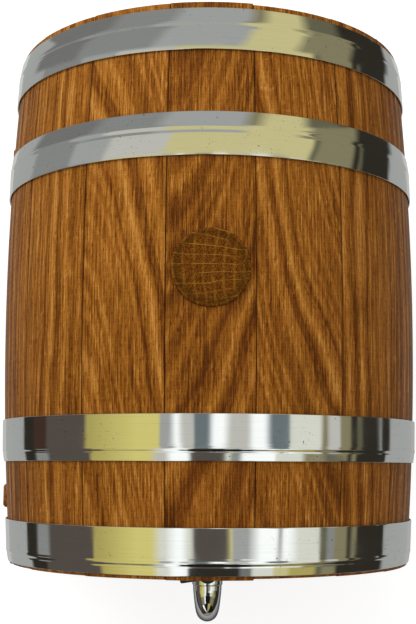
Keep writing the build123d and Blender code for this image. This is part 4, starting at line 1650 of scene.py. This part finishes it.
class Tone(Enum):
    """The tones of the things in the room that polished metal mirrors."""

    WINDOW = "#FAFDFD"
    BLIND = "#D2D3C8"
    SHEET = "#B9B8B2"
    CARD = "#9B9D9B"
    ASH = "#838482"
    IRON = "#70706E"
    SLATE = "#667074"
    STRAW = "#CDC274"
    HAY = "#A89D5A"
    REED = "#C2BA88"
    MOSS = "#807A5E"
    OLIVE = "#605E4A"
    PLUM = "#504944"
    COCOA = "#3E2D24"
    SOOT = "#2B2822"
    COAL = "#151412"


@dataclass(frozen=True)
class Row:
    """One level of the room: upright strips, each from its turn from straight up towards +X."""

    floor: float  # degrees towards the rear from straight up, where the row begins
    blend: float  # degrees over which one strip passes into the next
    lean: float  # degrees by which its edges turn for each degree of height
    panels: tuple[tuple, ...]  # where each begins, its tone, and its own blend where that differs


@dataclass
class Studio:
    """A white floor, plain soft light, a room for the metal to mirror, and the camera.

    The room runs from low in front of the cask to high behind it: dim on the left, a warm lit wall, windows
    with a dark figure between them overhead, pale walls on the right, and a dim corner low on the right.
    """

    shape: CaskShape
    floor_size: Point = (0.50, 1.00)
    floor_glow: float = 0.71  # what brings the paper up to white for the eye
    floor_mirrored: float = 0.10  # the same for mirrors, which see it pale
    level: float = 0.63  # of the world on matt surfaces
    mirror_gain: float = 1.25  # undoes the steel's own darkening of what it mirrors
    wobble: float = 1.1  # degrees by which the strips' edges bend
    wobble_scale: float = 5.0
    wobble_span: Pair = (0.3, 0.7)  # where in the noise they bend most to either side
    row_edge: float = 0.8  # degrees over which one row passes into the next
    paper: str = "#BDBDBB"
    paper_roughness: float = 0.9
    lamp_power: float = 10.5
    lamp_size: float = 1.2
    lamp_offset: Vector = field(default_factory=lambda: Vector((-0.34, 0.80, 0.80)))
    camera_offset: Vector = field(default_factory=lambda: Vector((-4.42, -99.42, 703.98)) * MM)
    camera_pitch: float = radians(8.044)
    camera_yaw: float = radians(0.294)
    camera_roll: float = radians(0.305)
    lens: float = 63.0
    rows: tuple[Row, ...] = (
        Row(-90.0, 3.0, 0.0, (
            (-180, Tone.ASH), (-128, Tone.COCOA), (-66, Tone.WINDOW), (-44, Tone.COAL), (8, Tone.HAY),
            (46, Tone.COAL), (112, Tone.ASH),
        )),
        Row(-55.0, 1.5, 0.0, (
            (-180, Tone.CARD), (-118, Tone.SOOT), (-104, Tone.PLUM), (-60, Tone.MOSS),
            (-34, Tone.SHEET, 6), (-27, Tone.WINDOW), (-18, Tone.COAL), (25, Tone.OLIVE), (34, Tone.MOSS),
            (62, Tone.OLIVE), (74, Tone.SOOT), (112, Tone.CARD),
        )),
        Row(-31.0, 1.5, 0.0, (
            (-180, Tone.CARD), (-118, Tone.SOOT), (-102, Tone.PLUM), (-62, Tone.HAY),
            (-52, Tone.STRAW, 18), (-30, Tone.BLIND, 4), (-21, Tone.WINDOW, 4), (-12, Tone.SOOT),
            (18, Tone.IRON), (25, Tone.BLIND), (36, Tone.REED), (46, Tone.HAY), (62, Tone.OLIVE),
            (66, Tone.MOSS), (76, Tone.SOOT), (114, Tone.CARD),
        )),
        Row(-21.0, 1.5, 0.0, (
            (-180, Tone.CARD), (-117, Tone.SOOT), (-102, Tone.PLUM), (-66, Tone.HAY),
            (-52, Tone.STRAW, 24), (-30, Tone.SHEET, 4), (-23, Tone.WINDOW, 4), (-11, Tone.PLUM),
            (9, Tone.BLIND), (12, Tone.ASH), (17, Tone.WINDOW), (36, Tone.BLIND), (52, Tone.MOSS),
            (66, Tone.OLIVE), (76, Tone.SOOT), (114, Tone.CARD),
        )),
        Row(-13.0, 1.2, 0.0, (
            (-180, Tone.CARD), (-119, Tone.SOOT), (-108, Tone.ASH), (-97, Tone.PLUM), (-64, Tone.HAY),
            (-50, Tone.STRAW, 20), (-29, Tone.BLIND, 5), (-21, Tone.WINDOW, 6), (-13, Tone.BLIND, 5),
            (-8, Tone.PLUM, 2), (10, Tone.REED), (12, Tone.CARD), (25, Tone.WINDOW, 7),
            (37, Tone.CARD, 2), (40, Tone.WINDOW, 2), (47, Tone.BLIND, 6), (62, Tone.OLIVE),
            (67, Tone.ASH), (72, Tone.MOSS), (80, Tone.SOOT), (83, Tone.MOSS), (86, Tone.SOOT),
            (112, Tone.CARD),
        )),
        Row(-5.5, 1.2, 0.0, (
            (-180, Tone.CARD), (-119, Tone.SOOT), (-109, Tone.COCOA), (-97, Tone.PLUM), (-69, Tone.HAY),
            (-52, Tone.STRAW, 28), (-26, Tone.CARD), (-19, Tone.WINDOW, 3), (-15, Tone.SHEET, 3),
            (-8, Tone.SLATE), (1, Tone.WINDOW, 3), (9, Tone.SHEET, 4), (21, Tone.WINDOW, 4),
            (31, Tone.SLATE, 4), (43, Tone.BLIND), (62, Tone.MOSS), (66, Tone.SHEET), (74, Tone.MOSS),
            (81, Tone.SOOT), (85, Tone.OLIVE), (89, Tone.SOOT), (103, Tone.ASH), (106, Tone.SOOT),
            (114, Tone.CARD),
        )),
        Row(11.0, 3.0, -0.7, (
            (-180, Tone.CARD), (-118, Tone.ASH), (-84, Tone.CARD), (-60, Tone.SHEET), (-26, Tone.REED),
            (53, Tone.OLIVE), (57, Tone.MOSS), (81, Tone.SOOT), (86, Tone.OLIVE), (89, Tone.SOOT),
            (116, Tone.CARD),
        )),
        Row(21.0, 7.0, -1.1, (
            (-180, Tone.CARD), (-124, Tone.IRON), (-84, Tone.ASH), (-34, Tone.CARD), (17, Tone.REED),
            (50, Tone.MOSS), (86, Tone.SOOT), (126, Tone.CARD),
        )),
        Row(32.5, 9.0, -0.6, (
            (-180, Tone.CARD), (-124, Tone.IRON), (-70, Tone.ASH), (-30, Tone.CARD), (20, Tone.MOSS),
            (30, Tone.REED), (58, Tone.OLIVE), (84, Tone.SOOT), (126, Tone.CARD),
        )),
    )  # fmt: skip

    def stops(self, row: Row) -> list[tuple[float, str]]:
        """Turn a row into colour ramp stops, soft at each edge.

        Args:
            row: the row.

        Returns:
            Each stop's share of the full turn and its colour.
        """
        stops: list[tuple[float, str]] = []
        halves = [(panel[2] if len(panel) > 2 else row.blend) / 2 for panel in row.panels]
        for index, (start, tone, *_) in enumerate(row.panels):
            stops.append(((start + halves[index]) / 360 + 0.5, tone.value))
            if index + 1 < len(row.panels):
                stops.append(((row.panels[index + 1][0] - halves[index + 1]) / 360 + 0.5, tone.value))
        return stops

    def build_world(self) -> None:
        """Make the plain surroundings, and the room that only mirrors see."""
        world = bpy.data.worlds.new("studio")
        world.use_nodes = True
        bpy.context.scene.world = world
        tree = world.node_tree
        tree.nodes.clear()
        add = partial(add_node, tree)
        view = add("ShaderNodeTexCoord").outputs["Generated"]
        x, y, z = add("ShaderNodeSeparateXYZ", (view,)).outputs
        bend = add(NOISE, {"Vector": view, "Scale": self.wobble_scale, "Detail": 1.0})
        (low, high), reach = self.wobble_span, radians(self.wobble)
        limits = {"From Min": low, "From Max": high, "To Min": -reach, "To Max": reach}
        bend = add(SPAN, {"Value": bend} | limits)
        turn = add(MATH, (add(MATH, (x, z), operation="ARCTAN2"), bend))
        share = add(SPAN, {"Value": turn, "From Min": -pi, "From Max": pi})
        height = add(MATH, (y,), operation="ARCSINE")
        room = None
        for row in self.rows:
            # A long row takes two ramps, which meet where a stop of the same tone ends both.
            stops, last = self.stops(row), RAMP_STOPS - 1
            rise = add(MATH, (height, radians(row.floor)), operation="SUBTRACT")
            leant = add(MATH, (rise, row.lean / tau, share), operation="MULTIPLY_ADD")
            chunk = add(RAMP, (leant,), stops[:RAMP_STOPS])
            if len(stops) > RAMP_STOPS:
                rest = add(RAMP, (leant,), stops[last:])
                past = add(MATH, (leant, stops[last][0]), operation="GREATER_THAN")
                chunk = add(MIX, {0: past, MIX_A: chunk, MIX_B: rest}, data_type="RGBA")
            if room is None:
                room = chunk
                continue
            low, high = radians(row.floor - self.row_edge / 2), radians(row.floor + self.row_edge / 2)
            above = add(SPAN, {"Value": height, "From Min": low, "From Max": high})
            room = add(MIX, {0: above, MIX_A: room, MIX_B: chunk}, data_type="RGBA")
        plain = {"Color": linear("#FFFFFF"), "Strength": self.level}
        light = add("ShaderNodeBackground", plain)
        white = add("ShaderNodeBackground", plain | {"Strength": 1.0})
        mirrored = add("ShaderNodeBackground", {"Color": room, "Strength": self.mirror_gain})
        path = add("ShaderNodeLightPath").outputs
        seen = add(MATH, (path["Is Camera Ray"], path["Is Transmission Ray"]), operation="MAXIMUM")
        backdrop = add("ShaderNodeMixShader", (seen, light, white))
        backdrop = add("ShaderNodeMixShader", (path["Is Glossy Ray"], backdrop, mirrored))
        add("ShaderNodeOutputWorld", {"Surface": backdrop})

    def build_floor(self) -> None:
        """Lay a floor of paper, white to the eye and pale in mirrors, that keeps the object's shadow."""
        material, tree, shader = new_material("white_studio_paper")
        path = add_node(tree, "ShaderNodeLightPath").outputs
        mirrored = add_node(tree, MATH, (path["Is Glossy Ray"], self.floor_mirrored), operation="MULTIPLY")
        glow = (path["Is Camera Ray"], self.floor_glow, mirrored)
        share = add_node(tree, MATH, glow, operation="MULTIPLY_ADD")
        matt = {"Base Color": linear(self.paper), "Roughness": self.paper_roughness}
        matt |= {"Specular IOR Level": 0.0, "Emission Color": linear("#FFFFFF"), "Emission Strength": share}
        feed(tree, shader, matt)
        width, length = self.floor_size
        x, y = self.shape.centre.x, self.shape.centre.y
        signs = ((-1, -1), (1, -1), (1, 1), (-1, 1))
        corners = [(x + i * width / 2, y + j * length / 2, 0.0) for i, j in signs]
        floor = raw_object("studio_floor", corners, faces=[(0, 1, 2, 3)])
        floor.data.materials.append(material)

    def build_lamp(self) -> None:
        """Hang one large soft lamp over the cask, to the left and the rear."""
        light = bpy.data.lights.new("softbox", "AREA")
        light.shape = "SQUARE"
        light.size = self.lamp_size
        light.energy = self.lamp_power
        lamp = placed("softbox", light)
        lamp.location = self.shape.centre + self.lamp_offset
        lamp.rotation_euler = (-self.lamp_offset).to_track_quat("-Z", "Y").to_euler()
        lamp.visible_glossy = False

    def build_camera(self) -> None:
        """Set the camera above the cask, looking down with the tap at the bottom."""
        data = bpy.data.cameras.new("camera")
        data.lens = self.lens
        data.clip_start = 0.01
        camera = placed("camera", data)
        tilt = Matrix.Rotation(self.camera_pitch, 4, "X") @ Matrix.Rotation(-self.camera_yaw, 4, "Y")
        tilt = tilt @ Matrix.Rotation(self.camera_roll, 4, "Z")
        camera.matrix_world = Matrix.Translation(self.shape.centre + self.camera_offset) @ tilt
        bpy.context.scene.camera = camera

    def build(self) -> None:
        """Make the whole studio."""
        bpy.context.scene.view_settings.view_transform = "Standard"
        self.build_camera()
        self.build_world()
        self.build_floor()
        self.build_lamp()


# ---------------- making

VISIBLE_CUTS = {
    "bung_stave": BoardCut(-27 * MM, 52 * MM, -0.18, 0.10, 1.3, -0.42),
    "stave_02": BoardCut(58 * MM, 44 * MM, -0.30, -0.06, 2.1, 0.15),
    "stave_03": BoardCut(60 * MM, 30 * MM, 0.05, -0.05, 3.7, 0.15),
    "stave_04": BoardCut(75 * MM, 12 * MM, 0.02, 0.0, 4.4, -0.15),
    "stave_16": BoardCut(-44 * MM, 46 * MM, 0.22, -0.06, 5.2, 0.42),
    "stave_15": BoardCut(-70 * MM, 25 * MM, 0.03, 0.02, 6.5, 0.50),
    "stave_14": BoardCut(-80 * MM, 14 * MM, 0.02, 0.0, 7.9, 0.05),
}


def main() -> None:
    """Build the object piece by piece, then the studio."""
    logging.basicConfig(level=logging.INFO, format="%(name)s: %(message)s")
    shape = CaskShape.from_frame()
    Studio(shape).build()
    Barrel(shape, cuts=VISIBLE_CUTS).build()
    Heads(shape).build()
    Hoops(shape).build()
    Bung().build()
    Tap.from_frame().build()
    Stand(shape).build()


if __name__ == "__main__":
    main()
